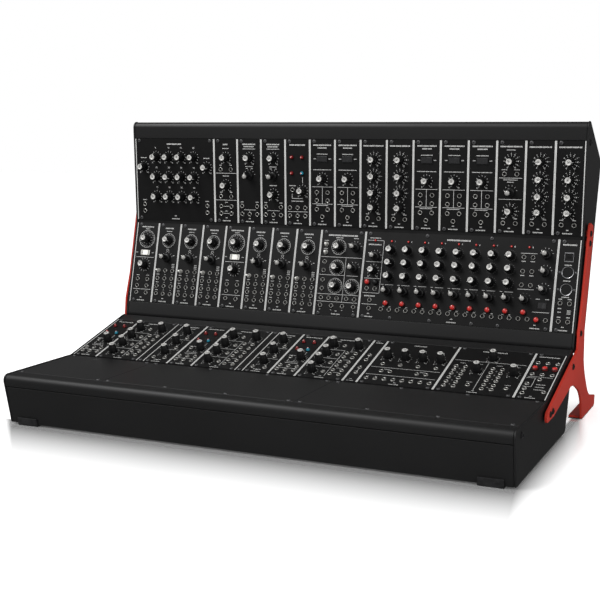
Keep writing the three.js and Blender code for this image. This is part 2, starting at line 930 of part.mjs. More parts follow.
function rockerHole(place, length) {
  const x = [place.x - length / 2 - rockerSwing, place.x + length / 2 + rockerSwing];
  const y = [place.y - rockerWidth / 2 - fit, place.y + rockerWidth / 2 + fit];
  return block(x, y, [-panelThickness - overrun, overrun]);
}

function throughHole(place, radius, top) {
  return round(place, [radius, radius], [-panelThickness - overrun, top + overrun], movingSides);
}

function shaft(place) {
  return round(place, [shaftRadius, shaftRadius], [fit - potTop, overrun], movingSides);
}

function loosePot(place) {
  const skirt = [fit, knobSkirtHeight];
  const cap = [knobSkirtHeight - overlap, knobHeight];
  return join([
    round(place, [knobSkirt, knobCap], skirt, movingSides),
    round(place, [knobCap, knobCap], cap, movingSides),
    shaft(place),
  ]);
}

function looseSelector(place) {
  const pointerX = [place.x - pointerWidth / 2, place.x + pointerWidth / 2];
  const pointerY = [place.y, place.y + selectorSkirt];
  const cap = [selectorSkirtHeight - overlap, selectorHeight];
  return join([
    round(place, [selectorSkirt, selectorSkirt], [fit, selectorSkirtHeight], movingSides),
    round(place, [selectorCap, selectorCap], cap, movingSides),
    block(pointerX, pointerY, [selectorSkirtHeight - overlap, selectorHeight]),
    shaft(place),
  ]);
}

function toggleLever(place) {
  const radii = [toggleLeverRadius, toggleLeverRadius];
  return round(place, radii, [-toggleLeverDepth, toggleLeverHeight], movingSides);
}

function toggleNut(place) {
  const radii = [toggleNutRadius, toggleNutRadius];
  return round(place, radii, [-overlap, toggleNutHeight], fixedSides);
}

function looseButton(place) {
  const flange = buttonRadius + buttonFlange;
  const under = -panelThickness - fit;
  return join([
    round(place, [buttonRadius, buttonRadius], [under - overlap, buttonProud], movingSides),
    round(place, [flange, flange], [under - buttonFlangeThickness, under], movingSides),
  ]);
}

const controls = {
  knob: {
    fixed: (place) => round(place, [knobSkirt, knobCap], [-overlap, knobHeight], fixedSides),
    loose: loosePot,
    hole: (place) => throughHole(place, shaftRadius + fit, 0),
    bodyTop: -potTop,
  },
  selector: {
    fixed: (place) => {
      return round(place, [selectorSkirt, selectorCap], [-overlap, selectorHeight], fixedSides);
    },
    loose: looseSelector,
    hole: (place) => throughHole(place, shaftRadius + fit, 0),
    bodyTop: -potTop,
  },
  lamp: {
    fixed: (place) => round(place, [lampRadius, lampRadius], [-overlap, lampHeight], fixedSides),
    bodyTop: -potTop,
  },
  rocker: {
    fixed: (place) => plainRocker(place, rockerLength, [-overlap, rockerProud]),
    loose: (place) => plainRocker(place, rockerLength, [-rockerDepth, rockerProud]),
    hole: (place) => rockerHole(place, rockerLength),
    bodyTop: -potTop,
  },
  smallRocker: {
    fixed: (place) => plainRocker(place, smallRockerLength, [-overlap, rockerProud]),
    loose: (place) => plainRocker(place, smallRockerLength, [-rockerDepth, rockerProud]),
    hole: (place) => rockerHole(place, smallRockerLength),
    bodyTop: -potTop,
  },
  toggle: {
    fixed: (place) => toggleNut(place).add(toggleLever(place)),
    loose: toggleLever,
    base: toggleNut,
    hole: (place) => throughHole(place, toggleBore, toggleNutHeight),
    bodyTop: -panelThickness,
  },
  button: {
    fixed: (place) => {
      return round(place, [buttonRadius, buttonRadius], [-overlap, buttonProud], fixedSides);
    },
    loose: looseButton,
    hole: (place) => throughHole(place, buttonRadius + fit, 0),
    bodyTop: -panelThickness - fit - buttonFlangeThickness - buttonTravel - fit,
  },
};

function panelEnds([from, to]) {
  const left = from * hp - trayHalf + panelSideGap;
  return [left, to * hp - trayHalf - panelSideGap];
}

function controlPlace(panel, [, xShare, yShare]) {
  const [left, right] = panelEnds(panel);
  return { x: left + (right - left) * xShare, y: panelHeight * yShare };
}

// Body of a potentiometer or switch on the board, under a loose control.
function switchBody(kind, place) {
  const x = [place.x - potWidth / 2, place.x + potWidth / 2];
  const y = [place.y - potWidth / 2, place.y + potWidth / 2];
  return block(x, y, [-boardDrop - overlap, controls[kind].bodyTop]);
}

// Circuit board behind a module, on two pillars from its first panel and its last.
function moduleBoard(ends) {
  const x = [ends[0] + boardInset, ends[1] - boardInset];
  const y = [boardMargin, panelHeight - boardMargin];
  const board = block(x, y, [-boardDrop - boardThickness, -boardDrop]);
  const pillars = [x[0], x[1] - pillarWidth].map((left) => {
    const heights = [-boardDrop - overlap, -panelThickness + overlap];
    return block([left, left + pillarWidth], [y[0], y[0] + pillarWidth], heights);
  });
  return [board, ...pillars];
}

// Sockets of the interface panel: their rims and their hollows.
function interfaceSockets(panel) {
  const place = (height) => controlPlace(panel, ["socket", socketShares.x, height]);
  const usb = place(socketShares.usb);
  const usbBox = (inset, heights) => {
    const x = [usb.x - usbWidth / 2 + inset, usb.x + usbWidth / 2 - inset];
    return block(x, [usb.y - usbHeight / 2 + inset, usb.y + usbHeight / 2 - inset], heights);
  };
  const body = [-boardDrop - overlap, socketProud];
  const hollow = [-dinDepth, socketProud + overrun];
  const rims = [usbBox(0, body)];
  const hollows = [usbBox(usbRim, hollow)];
  for (const share of [socketShares.dinHigh, socketShares.dinLow]) {
    const inner = dinRadius - dinRim;
    rims.push(round(place(share), [dinRadius, dinRadius], body, movingSides));
    hollows.push(round(place(share), [inner, inner], hollow, movingSides));
  }
  return { rims, hollows };
}

// Solid of a module: panels, board and all its fixed controls, with holes for the loose ones.
function moduleSolid(module) {
  const ends = [panelEnds(module.panels[0])[0], panelEnds(module.panels.at(-1))[1]];
  const pieces = [block(ends, [0, panelHeight], [-panelThickness, 0]), ...moduleBoard(ends)];
  const holes = [];
  const looseKeys = new Set(module.loose.map(([, panel, index]) => `${panel}/${index}`));
  module.panels.forEach((panel, panelIndex) => {
    layoutShares[panel[2]].forEach((control, index) => {
      const kind = controls[control[0]];
      const place = controlPlace(panel, control);
      if (looseKeys.has(`${panelIndex}/${index}`)) {
        pieces.push(switchBody(control[0], place));
        if (kind.base) pieces.push(kind.base(place));
        holes.push(kind.hole(place));
      } else {
        pieces.push(kind.fixed(place));
      }
    });
  });
  if (module.name === "interface_module") {
    const { rims, hollows } = interfaceSockets(module.panels[0]);
    pieces.push(...rims);
    holes.push(...hollows);
  }
  return cut(join(pieces), holes);
}

function looseControl(module, [, panelIndex, index]) {
  const panel = module.panels[panelIndex];
  const control = layoutShares[panel[2]][index];
  return controls[control[0]].loose(controlPlace(panel, control));
}

// Scene graph
const group = new THREE.Group();
const instrument = new THREE.Group();
instrument.position.set(0, -footprintMiddle, footHeight);
group.add(instrument);

const upperGroup = new THREE.Group();
upperGroup.position.set(0, upperCase.y, upperCase.z);
upperGroup.rotation.x = caseTilt;
instrument.add(upperGroup);

function rowGroup(parent, row) {
  const plane = new THREE.Group();
  plane.position.set(0, row.y, row.z);
  plane.rotation.x = row.tilt;
  parent.add(plane);
  return plane;
}

const rows = {
  1: rowGroup(upperGroup, slopeRow),
  2: rowGroup(upperGroup, frontRow),
  3: rowGroup(instrument, slopeRow),
  4: rowGroup(instrument, frontRow),
};

function addPart(parent, name, solid, material) {
  const mesh = new THREE.Mesh(toGeometry(solid), material);
  mesh.name = name;
  parent.add(mesh);
}

function addCase(parent, name) {
  addPart(parent, `${name}_case_tray`, caseTray(), blackPaint());
  addPart(parent, `${name}_left_cheek`, endCheek(-cheekOuter, -cheekInner), blackPaint());
  addPart(parent, `${name}_right_cheek`, endCheek(cheekInner, cheekOuter), blackPaint());
  addPart(parent, `${name}_rail_frame`, railFrame(), aluminium());
  addPart(parent, `${name}_power_board`, powerBoard(), circuitBoard());
  addPart(parent, `${name}_power_rocker`, powerRocker(), blackPlastic());
}

function addFeet() {
  const outer = cheekOuter - footInset;
  const inner = outer - footLength;
  addPart(instrument, "front_left_foot", frontFoot(-outer, -inner), rubber());
  addPart(instrument, "front_right_foot", frontFoot(inner, outer), rubber());
  addPart(instrument, "rear_left_foot", rearFoot(-outer, -inner), rubber());
  addPart(instrument, "rear_right_foot", rearFoot(inner, outer), rubber());
}

function addStands() {
  addPart(instrument, "left_stand", stand(-1), redPaint());
  addPart(instrument, "right_stand", stand(1), redPaint());
  addPart(instrument, "left_stand_pad", standPad(-1), rubber());
  addPart(instrument, "right_stand_pad", standPad(1), rubber());
}

function addDeck() {
  for (const [name, from, to] of deckPanels) {
    const panel = block(panelEnds([from, to]), [0, panelHeight], [-panelThickness, 0]);
    addPart(rows[4], name, panel, blackPaint());
  }
}

const looseFinish = {
  knob: silverKnob,
  selector: silverKnob,
  rocker: blackPlastic,
  smallRocker: blackPlastic,
  toggle: silverKnob,
  button: redPlastic,
};

function addModules() {
  for (const module of modules) {
    addPart(rows[module.row], module.name, moduleSolid(module), panelPaint());
    for (const loose of module.loose) {
      const kind = layoutShares[module.panels[loose[1]][2]][loose[2]][0];
      const finish = loose[0] === "oscillator_driver_rocker" ? whitePlastic : looseFinish[kind];
      addPart(rows[module.row], loose[0], looseControl(module, loose), finish());
    }
  }
}

addCase(instrument, "lower");
addCase(upperGroup, "upper");
addFeet();
addStands();
addDeck();
addModules();

export default group;
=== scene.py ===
"""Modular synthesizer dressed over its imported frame: panels, knobs, jacks, print and finishes."""

import json
import math

import bmesh
import bpy
import numpy as np
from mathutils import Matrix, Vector
from mathutils.geometry import delaunay_2d_cdt

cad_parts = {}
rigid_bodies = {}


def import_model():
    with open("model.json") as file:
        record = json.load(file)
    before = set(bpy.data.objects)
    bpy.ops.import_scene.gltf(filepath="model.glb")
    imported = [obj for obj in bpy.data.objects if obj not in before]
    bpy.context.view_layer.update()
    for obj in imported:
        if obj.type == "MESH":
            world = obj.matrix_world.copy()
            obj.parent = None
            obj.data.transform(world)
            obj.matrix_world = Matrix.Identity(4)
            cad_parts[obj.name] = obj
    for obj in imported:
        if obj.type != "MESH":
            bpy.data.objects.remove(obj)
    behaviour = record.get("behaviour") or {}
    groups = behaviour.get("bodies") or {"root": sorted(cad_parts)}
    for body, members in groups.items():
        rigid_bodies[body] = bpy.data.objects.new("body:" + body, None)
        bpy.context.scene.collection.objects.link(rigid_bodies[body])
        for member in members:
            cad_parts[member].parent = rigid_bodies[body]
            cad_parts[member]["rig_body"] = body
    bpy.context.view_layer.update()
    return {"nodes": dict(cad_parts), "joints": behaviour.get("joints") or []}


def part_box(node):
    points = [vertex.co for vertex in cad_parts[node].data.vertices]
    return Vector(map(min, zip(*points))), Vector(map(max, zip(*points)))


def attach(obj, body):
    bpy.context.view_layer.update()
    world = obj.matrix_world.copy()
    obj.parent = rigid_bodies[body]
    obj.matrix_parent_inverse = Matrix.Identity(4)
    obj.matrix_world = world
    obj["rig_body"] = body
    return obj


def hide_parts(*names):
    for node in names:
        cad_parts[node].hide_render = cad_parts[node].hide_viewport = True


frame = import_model()

bl_info = {
    "name": "Modular Synthesizer",
    "version": (1, 0, 0),
    "blender": (4, 5, 0),
    "location": "View3D > Sidebar > Synthesizer",
    "description": "Panels, knobs, jacks and finishes of a two tier modular synthesizer",
    "category": "Add Mesh",
}

MM = 0.001
BODY = "case"

# Edges sharper than this many degrees are shaded crisp, on most pieces, switches and print
SMOOTH = 40.0
SWITCH_SMOOTH = 25.0
FLAT_SHADED = 0.0

# On copies of the frame's nodes: degrees under which faces are joined, and over which edges
# are bevelled, and metres under which points are one
FLAT_ANGLE = 1.0
BEVEL_ANGLE = 35.0
WELD = 1e-6

# Rack standard, in millimetres
UNIT = 5.08
ROW_UNITS = 140
PANEL_HEIGHT = 128.5
PANEL_THICKNESS = 2.0
PANEL_GAP = 0.15
ROW_HALF = UNIT * ROW_UNITS / 2

# Places of the joints that fix the planes of the rows, as shares of the panel height
PLANE_JOINTS = {
    1: ("envelope_turn", 0.591),
    2: ("sequencer_turn", 0.798),
    3: ("mixer_turn", 0.781),
}


def joint(name):
    """The frame's joint of that name."""
    return next(j for j in frame["joints"] if j["name"] == name)


class Plane:
    """A plane in the frame: its origin in metres, and unit vectors along it and out of it.

    A point (x, y, z) in millimetres lies at origin + x * right + y * along + z * out.
    """

    def __init__(self, origin, out):
        self.origin = np.asarray(origin, dtype=float)
        self.out = np.asarray(out, dtype=float) / np.linalg.norm(out)
        self.right = np.array([1.0, 0.0, 0.0])
        self.along = np.cross(self.out, self.right)

    def place(self, points):
        """Points of the plane, an array of x, y, z in millimetres, in the frame's metres."""
        axes = np.stack([self.right, self.along, self.out])
        return self.origin + np.asarray(points, dtype=float) @ axes * MM


def row_plane(row):
    """Plane of a row's panels: x from the middle of the row, y from the panels' lower edge."""
    if row == 4:
        low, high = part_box("deck_panel_middle")
        return Plane((0.0, low[1], high[2]), (0.0, 0.0, 1.0))
    name, share = PLANE_JOINTS[row]
    hinge = joint(name)
    plane = Plane(hinge["pos_m"], hinge["axis"])
    plane.origin = plane.origin - plane.along * PANEL_HEIGHT * share * MM
    plane.origin[0] = 0.0
    return plane


PLANES = {row: row_plane(row) for row in (1, 2, 3, 4)}


# Shapes: each is (points, faces), points an array of x, y, z in millimetres on a plane


def band(low, high, count, closed=True):
    """Faces between two rows of count points that start at low and high, closed as rings or not."""
    turn = np.arange(count if closed else count - 1)
    after = (turn + 1) % count
    return np.stack([low + turn, low + after, high + after, high + turn], axis=1).tolist()


def turned(profile, sides, flutes=0, depth=0.0, ring=False):
    """Surface of revolution: angle t and profile step (r, z) give the point (r cos t, r sin t, z).

    With flutes, r is drawn in by depth * (1 - cos(flutes * t)) / 2 where the third profile
    value is 1, and less where it is smaller. A profile that starts or ends on the axis is
    closed there, and a ring closes from its last step back to its first.
    """
    rows = np.array([step if len(step) == 3 else (*step, 0.0) for step in profile], dtype=float)
    angle = np.arange(sides) * (2 * np.pi / sides)
    radius = rows[:, :1] - rows[:, 2:] * depth * (1 - np.cos(flutes * angle)) / 2
    flat = np.stack([radius * np.cos(angle), radius * np.sin(angle)], axis=-1)
    height = np.repeat(rows[:, 1:2], sides, axis=1)[..., None]
    grid = np.concatenate([flat, height], axis=-1)
    last = len(rows) - 1
    poles = [index for index in (0, last) if rows[index, 0] == 0.0]
    points = [level[:1] if index in poles else level for index, level in enumerate(grid)]
    start = np.cumsum([0] + [len(level) for level in points])
    turn = np.arange(sides)
    after = np.roll(turn, -1)
    faces = []
    for index in range(last):
        low, high = start[index], start[index + 1]
        if index in poles:
            faces += np.stack([np.full(sides, low), high + after, high + turn], axis=1).tolist()
        elif index + 1 in poles:
            faces += np.stack([low + turn, low + after, np.full(sides, high)], axis=1).tolist()
        else:
            faces += band(low, high, sides)
    if ring:
        faces += band(start[last], start[0], sides)
    return np.concatenate(points), faces


def slab(outline, low, high, edge=0.0):
    """Prism over an outline, an array of x, y in turning order, with its top edge drawn in by edge.

    A point of the outline moves towards the middle of the shape by edge at the top level.
    """
    outline = np.asarray(outline, dtype=float)
    count = len(outline)
    middle = outline.mean(axis=0)
    reach = np.linalg.norm(outline - middle, axis=1, keepdims=True)
    drawn = middle + (outline - middle) * (1 - edge / reach)
    levels = [(outline, low), (outline, high - edge)] + ([(drawn, high)] if edge else [])
    points = np.concatenate([np.column_stack([ring, np.full(count, z)]) for ring, z in levels])
    last = (len(levels) - 1) * count
    faces = [list(range(count))[::-1]]
    for start in range(0, last, count):
        faces += band(start, start + count, count)
    return points, faces + [list(range(last, last + count))]


def brick(x0, x1, y0, y1, z0, z1, edge=0.0):
    """Straight block between two corners, with its top edge drawn in by edge."""
    return slab([(x0, y0), (x1, y0), (x1, y1), (x0, y1)], z0, z1, edge)


def bar(x0, y0, x1, y1, width, low, high):
    """Block of a given width along the line from (x0, y0) to (x1, y1)."""
    start, end = np.array([x0, y0], dtype=float), np.array([x1, y1], dtype=float)
    step = (end - start) / np.linalg.norm(end - start)
    side = np.array([-step[1], step[0]]) * width / 2
    return slab([start - side, end - side, end + side, start + side], low, high)


def moved(shape, x, y, turn=0.0):
    """The shape turned about its own upright axis by turn degrees and moved to (x, y)."""
    points, faces = shape
    cos, sin = math.cos(math.radians(turn)), math.sin(math.radians(turn))
    matrix = np.array([[cos, sin, 0.0], [-sin, cos, 0.0], [0.0, 0.0, 1.0]])
    return points @ matrix + np.array([x, y, 0.0]), faces


def gathered(shapes):
    """All the shapes as one, their points stacked and their faces renumbered."""
    points, faces, start = [], [], 0
    for part, part_faces in shapes:
        points.append(part)
        faces.extend([[index + start for index in face] for face in part_faces])
        start += len(part)
    return np.concatenate(points), faces


def circle(x, y, radius, sides):
    """Points of a circle in turning order."""
    angle = np.arange(sides) * (2 * np.pi / sides)
    return np.column_stack([x + radius * np.cos(angle), y + radius * np.sin(angle)])


def placed_object(name, data):
    """A new object of a mesh, lamp or camera, in the scene."""
    item = bpy.data.objects.new(name, data)
    bpy.context.scene.collection.objects.link(item)
    return item


def new_mesh(name, points, faces, material):
    """A mesh of points in metres and faces, with one material."""
    mesh = bpy.data.meshes.new(name)
    mesh.from_pydata(points, [], faces)
    mesh.update()
    mesh.materials.append(material)
    return mesh


def new_piece(name, plane, shapes, material, slot, body=BODY, smooth=SMOOTH):
    """A mesh object of all the shapes, placed from its plane, riding on a body.

    With smooth at zero its faces are shaded flat.
    """
    points, faces = gathered(shapes)
    mesh = new_mesh(name, plane.place(points).tolist(), faces, finish(material))
    piece = placed_object(name, mesh)
    if smooth:
        shade_by_angle(mesh, smooth)
    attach(piece, body)
    return piece


def shade_smooth(mesh):
    """Smooth shading of every face."""
    mesh.polygons.foreach_set("use_smooth", [True] * len(mesh.polygons))


def shade_by_angle(mesh, degrees):
    """Smooth shading, with edges sharper than the angle kept crisp."""
    shade_smooth(mesh)
    work = bmesh.new()
    work.from_mesh(mesh)
    limit = math.radians(degrees)
    for edge in work.edges:
        if len(edge.link_faces) != 2 or edge.calc_face_angle(math.pi) > limit:
            edge.smooth = False
    work.to_mesh(mesh)
    work.free()
    mesh.update()


def softened(node, name, material, edge, segments=2):
    """A merged copy of a CAD node with flat faces joined and its edges rounded by a Bevel.

    Its normals are weighted by face area, so that its large faces are shaded flat.
    """
    source = frame["nodes"][node]
    mesh = source.data.copy()
    mesh.name = name
    work = bmesh.new()
    work.from_mesh(mesh)
    bmesh.ops.remove_doubles(work, verts=work.verts, dist=WELD)
    bmesh.ops.dissolve_limit(
        work, angle_limit=math.radians(FLAT_ANGLE), verts=work.verts, edges=work.edges)
    work.to_mesh(mesh)
    work.free()
    mesh.materials.clear()
    mesh.materials.append(finish(material))
    piece = placed_object(name, mesh)
    shade_smooth(mesh)
    bevel = piece.modifiers.new("Soft edges", "BEVEL")
    bevel.width = edge * MM
    bevel.segments = segments
    bevel.limit_method = "ANGLE"
    bevel.angle_limit = math.radians(BEVEL_ANGLE)
    bevel.harden_normals = True
    bevel.use_clamp_overlap = True
    weighted = piece.modifiers.new("Flat faces", "WEIGHTED_NORMAL")
    weighted.mode, weighted.weight, weighted.keep_sharp = "FACE_AREA", 100, True
    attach(piece, source["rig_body"])
    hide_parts(node)
    return piece


# Materials

# Range that most values of a noise lie in
NOISE_RANGE = (0.3, 0.7)


def linear(red, green, blue):
    """Linear colour of an sRGB colour given in steps of 255."""
    share = np.array([red, green, blue]) / 255
    value = np.where(share <= 0.04045, share / 12.92, ((share + 0.055) / 1.055) ** 2.4)
    return (*value.tolist(), 1.0)


class Finish:
    """Builds one procedural material: a Principled shader, and the nodes that vary it."""

    def __init__(self, name, metallic=0.0, specular=0.5, coat=0.0):
        self.material = bpy.data.materials.new(name)
        self.material.use_nodes = True
        self.tree = self.material.node_tree
        self.shader = self.tree.nodes["Principled BSDF"]
        self.shader.inputs["Metallic"].default_value = metallic
        self.shader.inputs["Specular IOR Level"].default_value = specular
        self.shader.inputs["Coat Weight"].default_value = coat
        self.where = self.tree.nodes.new("ShaderNodeTexCoord").outputs["Object"]

    def node(self, kind, **values):
        """A node of a kind, with its sockets set by name."""
        node = self.tree.nodes.new(kind)
        for key, value in values.items():
            node.inputs[key.replace("_", " ")].default_value = value
        return node

    def link(self, output, target):
        """Joins an output to an input."""
        self.tree.links.new(output, target)

    def noise(self, size, detail=3.0):
        """Noise with features of about a size in millimetres."""
        node = self.node("ShaderNodeTexNoise", Scale=1 / (size * MM), Detail=detail)
        self.link(self.where, node.inputs["Vector"])
        return node.outputs["Fac"]

    def ranged(self, source, low, high, start=0.0, end=1.0):
        """A value that runs from start to end while the source runs from low to high."""
        node = self.node(
            "ShaderNodeMapRange", From_Min=low, From_Max=high, To_Min=start, To_Max=end)
        self.link(source, node.inputs["Value"])
        return node.outputs["Result"]

    def colour(self, source, dark, light, low=0.35, high=0.65):
        """Base colour that runs from dark to light while the source runs from low to high."""
        node = self.tree.nodes.new("ShaderNodeValToRGB")
        for stop, place, shade in zip(node.color_ramp.elements, (low, high), (dark, light)):
            stop.position = place
            stop.color = shade
        self.link(source, node.inputs["Fac"])
        self.link(node.outputs["Color"], self.shader.inputs["Base Color"])

    def roughness(self, source, low, high):
        """Roughness that varies between two values."""
        gloss = self.ranged(source, *NOISE_RANGE, low, high)
        self.link(gloss, self.shader.inputs["Roughness"])

    def bump(self, source, height, strength):
        """Relief of a height in millimetres."""
        node = self.node("ShaderNodeBump", Strength=strength, Distance=height * MM)
        self.link(source, node.inputs["Height"])
        self.link(node.outputs["Normal"], self.shader.inputs["Normal"])

    def glow(self, colour, strength):
        """Light of the surface's own."""
        self.shader.inputs["Emission Color"].default_value = colour
        self.shader.inputs["Emission Strength"].default_value = strength

    def varied(self, colour, cloud, shades, haze, gloss, grain, relief, stops=(0.35, 0.65)):
        """The material with noise over its colour, its roughness and its relief.

        Cloud, haze and grain are the size and detail of the three noises. The colour runs
        between its two shades, the roughness over gloss, and relief is height and strength.
        """
        dark, light = (shaded(colour, share) for share in shades)
        self.colour(self.noise(*cloud), dark, light, *stops)
        self.roughness(self.noise(*haze), *gloss)
        self.bump(self.noise(*grain), *relief)
        return self.material

    def maths(self, operation, *values):
        """Result of a maths node over outputs and plain numbers."""
        node = self.tree.nodes.new("ShaderNodeMath")
        node.operation = operation
        for socket, value in zip(node.inputs, values):
            if isinstance(value, (int, float)):
                socket.default_value = value
            else:
                self.link(value, socket)
        return node.outputs["Value"]

    def mixed(self, share, first, second):
        """Two shaders mixed by a share of the second."""
        node = self.tree.nodes.new("ShaderNodeMixShader")
        for socket, value in zip(node.inputs, (share, first, second)):
            self.link(value, socket)
        return node.outputs["Shader"]


def shaded(colour, share):
    """A colour made darker or lighter by a share of itself."""
    return (*(min(1.0, value * share) for value in colour[:3]), 1.0)


def powder_coat(name, colour, grain=0.35, relief=0.02, gloss=(0.42, 0.56), specular=0.5):
    """Fine orange peel of a powder coat, with slow cloudy variation of its colour and gloss."""
    return Finish(name, specular=specular).varied(
        colour, (160.0, 1.0), (0.94, 1.06), (420.0, 1.0), gloss, (grain, 2.0), (relief, 0.55))


def moulded(name, colour, gloss, specular=0.5, coat=0.0):
    """Moulded plastic: an even colour with faint flow marks and a fine spark eroded grain."""
    return Finish(name, specular=specular, coat=coat).varied(
        colour, (3.0,), (0.92, 1.08), (1.2,), gloss, (0.18, 1.0), (0.006, 0.4))


def metal(name, colour, gloss, metallic=1.0):
    """Plated or spun metal: fine scratches in its gloss and a light grain."""
    return Finish(name, metallic=metallic).varied(
        colour, (2.0,), (0.93, 1.06), (0.6,), gloss, (0.25, 1.0), (0.006, 0.5))


def brushed(name, colour, along):
    """Drawn aluminium: noise stretched along one axis for colour, gloss and relief."""
    finish = Finish(name, metallic=1.0)
    scale = tuple(0.02 if axis == along else 1.0 for axis in range(3))
    mapping = finish.node("ShaderNodeMapping", Scale=scale)
    finish.link(finish.where, mapping.inputs["Vector"])
    finish.where = mapping.outputs["Vector"]
    streaks = finish.noise(0.4, 4.0)
    finish.colour(streaks, shaded(colour, 0.86), shaded(colour, 1.1))
    finish.roughness(streaks, 0.3, 0.5)
    finish.bump(streaks, 0.008, 0.5)
    return finish.material


def print_ink(name, colour):
    """Screen printed ink: slightly broken coverage and a dry surface."""
    return Finish(name, specular=0.3).varied(
        colour, (0.5, 4.0), (0.78, 1.08), (0.4,), (0.5, 0.7), (0.2, 2.0), (0.004, 0.5), (0.25, 0.6))


def rubber_skin(name, colour):
    """Dull rubber with a matt grain and dusty lighter patches."""
    return Finish(name, specular=0.25).varied(
        colour, (6.0, 5.0), (0.8, 1.5), (2.0,), (0.72, 0.9), (0.4, 3.0), (0.03, 0.6))


def lacquered_board(name, colour):
    """Circuit board: green lacquer in lighter and darker stripes."""
    finish = Finish(name, coat=0.3)
    wave = finish.node("ShaderNodeTexWave", Scale=160.0, Distortion=0.6, Detail=1.0)
    finish.link(finish.where, wave.inputs["Vector"])
    finish.colour(wave.outputs["Fac"], shaded(colour, 0.6), shaded(colour, 1.25), 0.3, 0.7)
    finish.roughness(finish.noise(4.0), 0.3, 0.45)
    finish.bump(wave.outputs["Fac"], 0.02, 0.3)
    return finish.material


def lens(name, colour, light):
    """Coloured diffused lamp body with a faint light of its own."""
    finish = Finish(name, coat=0.4)
    finish.glow(colour, light)
    return finish.varied(
        colour, (1.0,), (0.85, 1.15), (0.8,), (0.18, 0.3), (0.3,), (0.004, 0.4))


def finishes():
    """All the materials, by name, with the colours that the add-on's settings give."""
    look = bpy.context.scene.synth_finishes
    case, steel, panel, ink = (
        tuple(colour) for colour in
        (look.case_colour, look.steel_colour, look.panel_colour, look.ink_colour))
    return {
        "case": powder_coat("Casing black", case, specular=0.3),
        "deck": powder_coat("Deck black", shaded(case, 1.2), 0.3, 0.012, (0.36, 0.5), 0.35),
        "panel": powder_coat("Panel black", panel, 0.22, 0.008, (0.46, 0.6), 0.2),
        "steel": powder_coat("Red steel", steel, 0.5, 0.02, (0.44, 0.6), 0.12),
        "ink": print_ink("Light print", ink),
        "faint_ink": print_ink("Faint print", shaded(ink, 0.2)),
        "strip": print_ink("Grey strip", shaded(ink, 0.95)),
        "knob": moulded("Knob black", linear(13, 13, 14), (0.34, 0.5), 0.35),
        "cap": metal("Spun cap", linear(184, 183, 180), (0.34, 0.5), 0.3),
        # Also on the toggles' metal levers, where the white is a painted highlight in place of the
        # metal's shine
        "pointer": moulded("White pointer", linear(225, 224, 220), (0.35, 0.5)),
        "nut": metal("Nickel nut", linear(178, 177, 173), (0.3, 0.44), 0.75),
        "bore": moulded("Socket black", linear(8, 8, 9), (0.5, 0.7), 0.15),
        "screw": metal("Black screw", linear(70, 70, 71), (0.34, 0.5), 0.4),
        "head": metal("Stand screw", linear(30, 30, 31), (0.3, 0.42), 0.4),
        "red_lamp": lens("Red lamp", linear(104, 12, 12), 0.01),
        "dome": metal("Selector dome", linear(150, 149, 146), (0.34, 0.5), 0.3),
        "lit_lamp": lens("Lit lamp", linear(176, 30, 27), 0.06),
        # Pale disc on each lamp's tip: a painted highlight of the domed lens
        "glint": moulded("Pale lamp tip", linear(196, 120, 116), (0.3, 0.42)),
        "blue_lamp": lens("Blue lamp", linear(24, 112, 132), 0.02),
        "red_button": moulded("Red button", linear(168, 28, 22), (0.3, 0.42), coat=0.2),
        # A darker copy of the button red for the red buttons' rims: painted shade at the edge of the
        # dome
        "red_rim_shade": moulded("Red rim", linear(84, 10, 9), (0.4, 0.55)),
        "black_button": moulded("Black button", linear(20, 20, 21), (0.3, 0.45), 0.35),
        "white_rocker": moulded("White rocker", linear(222, 221, 214), (0.3, 0.42)),
        "dark_rocker": moulded("Dark rocker", linear(33, 33, 34), (0.3, 0.42), 0.4),
        "rail": brushed("Rail aluminium", linear(196, 197, 200), 0),
        "board": lacquered_board("Board green", linear(28, 78, 46)),
        "rubber": rubber_skin("Rubber", linear(24, 24, 25)),
        "shell": metal("Connector shell", linear(182, 182, 184), (0.28, 0.42)),
    }


MATERIALS = {}


def finish(name):
    """The material of that name. All are made the first time that one is asked for."""
    if not MATERIALS:
        MATERIALS.update(finishes())
    return MATERIALS[name]


# Controls: shapes around the origin, standing up from the panel's face


# Shaft through the panel, and the level of the underside of skirts over it
SHAFT = [(0, -5), (2.6, -5), (2.6, 0.4)]


def knob_shapes():
    """A turning knob: fluted black skirt, spun metal cap and a white pointer line, with a dark bar and
    a dark cross on the cap; the cross is a painted reflection.
    """
    look = bpy.context.scene.synth_knob
    wide, tall, cap = look.radius / MM, look.height / MM, look.cap_radius / MM
    rise = tall - 1.2
    skirt = SHAFT + [(wide - 0.3, 0.4), (wide, 0.8, 1), (wide, 8.2, 1), (wide - 0.4, 9, 1),
                     (cap + 0.15, rise - 0.4, 0.3), (cap, rise), (0, rise)]
    spun = [(0, rise - 0.3), (cap - 0.3, rise - 0.3), (cap - 0.3, tall - 0.3), (cap - 0.6, tall),
            (cap - 1.3, tall), (cap - 1.6, tall - 0.25), (1.5, tall - 0.4), (0, tall - 0.4)]
    # A dark bar towards the pointer, and a dark cross that is a painted reflection of the spun cap
    reach = (cap - 1.6) * 0.7
    bar_and_painted_cross = [brick(-0.3, 0.3, cap - 2.9, cap - 0.7, tall - 0.5, tall)]
    for side in (-1, 1):
        bar_and_painted_cross.append(bar(-reach, -reach * side, reach, reach * side, 0.5, tall - 0.5, tall - 0.3))
    return {
        "knobs": turned(skirt, look.flutes * 3, look.flutes, look.flute_depth / MM),
        "caps": turned(spun, 24),
        "pointers": brick(-0.22, 0.22, cap - 0.4, wide - 0.25, 8.6, rise - 0.25),
        "cap_marks": gathered(bar_and_painted_cross),
    }


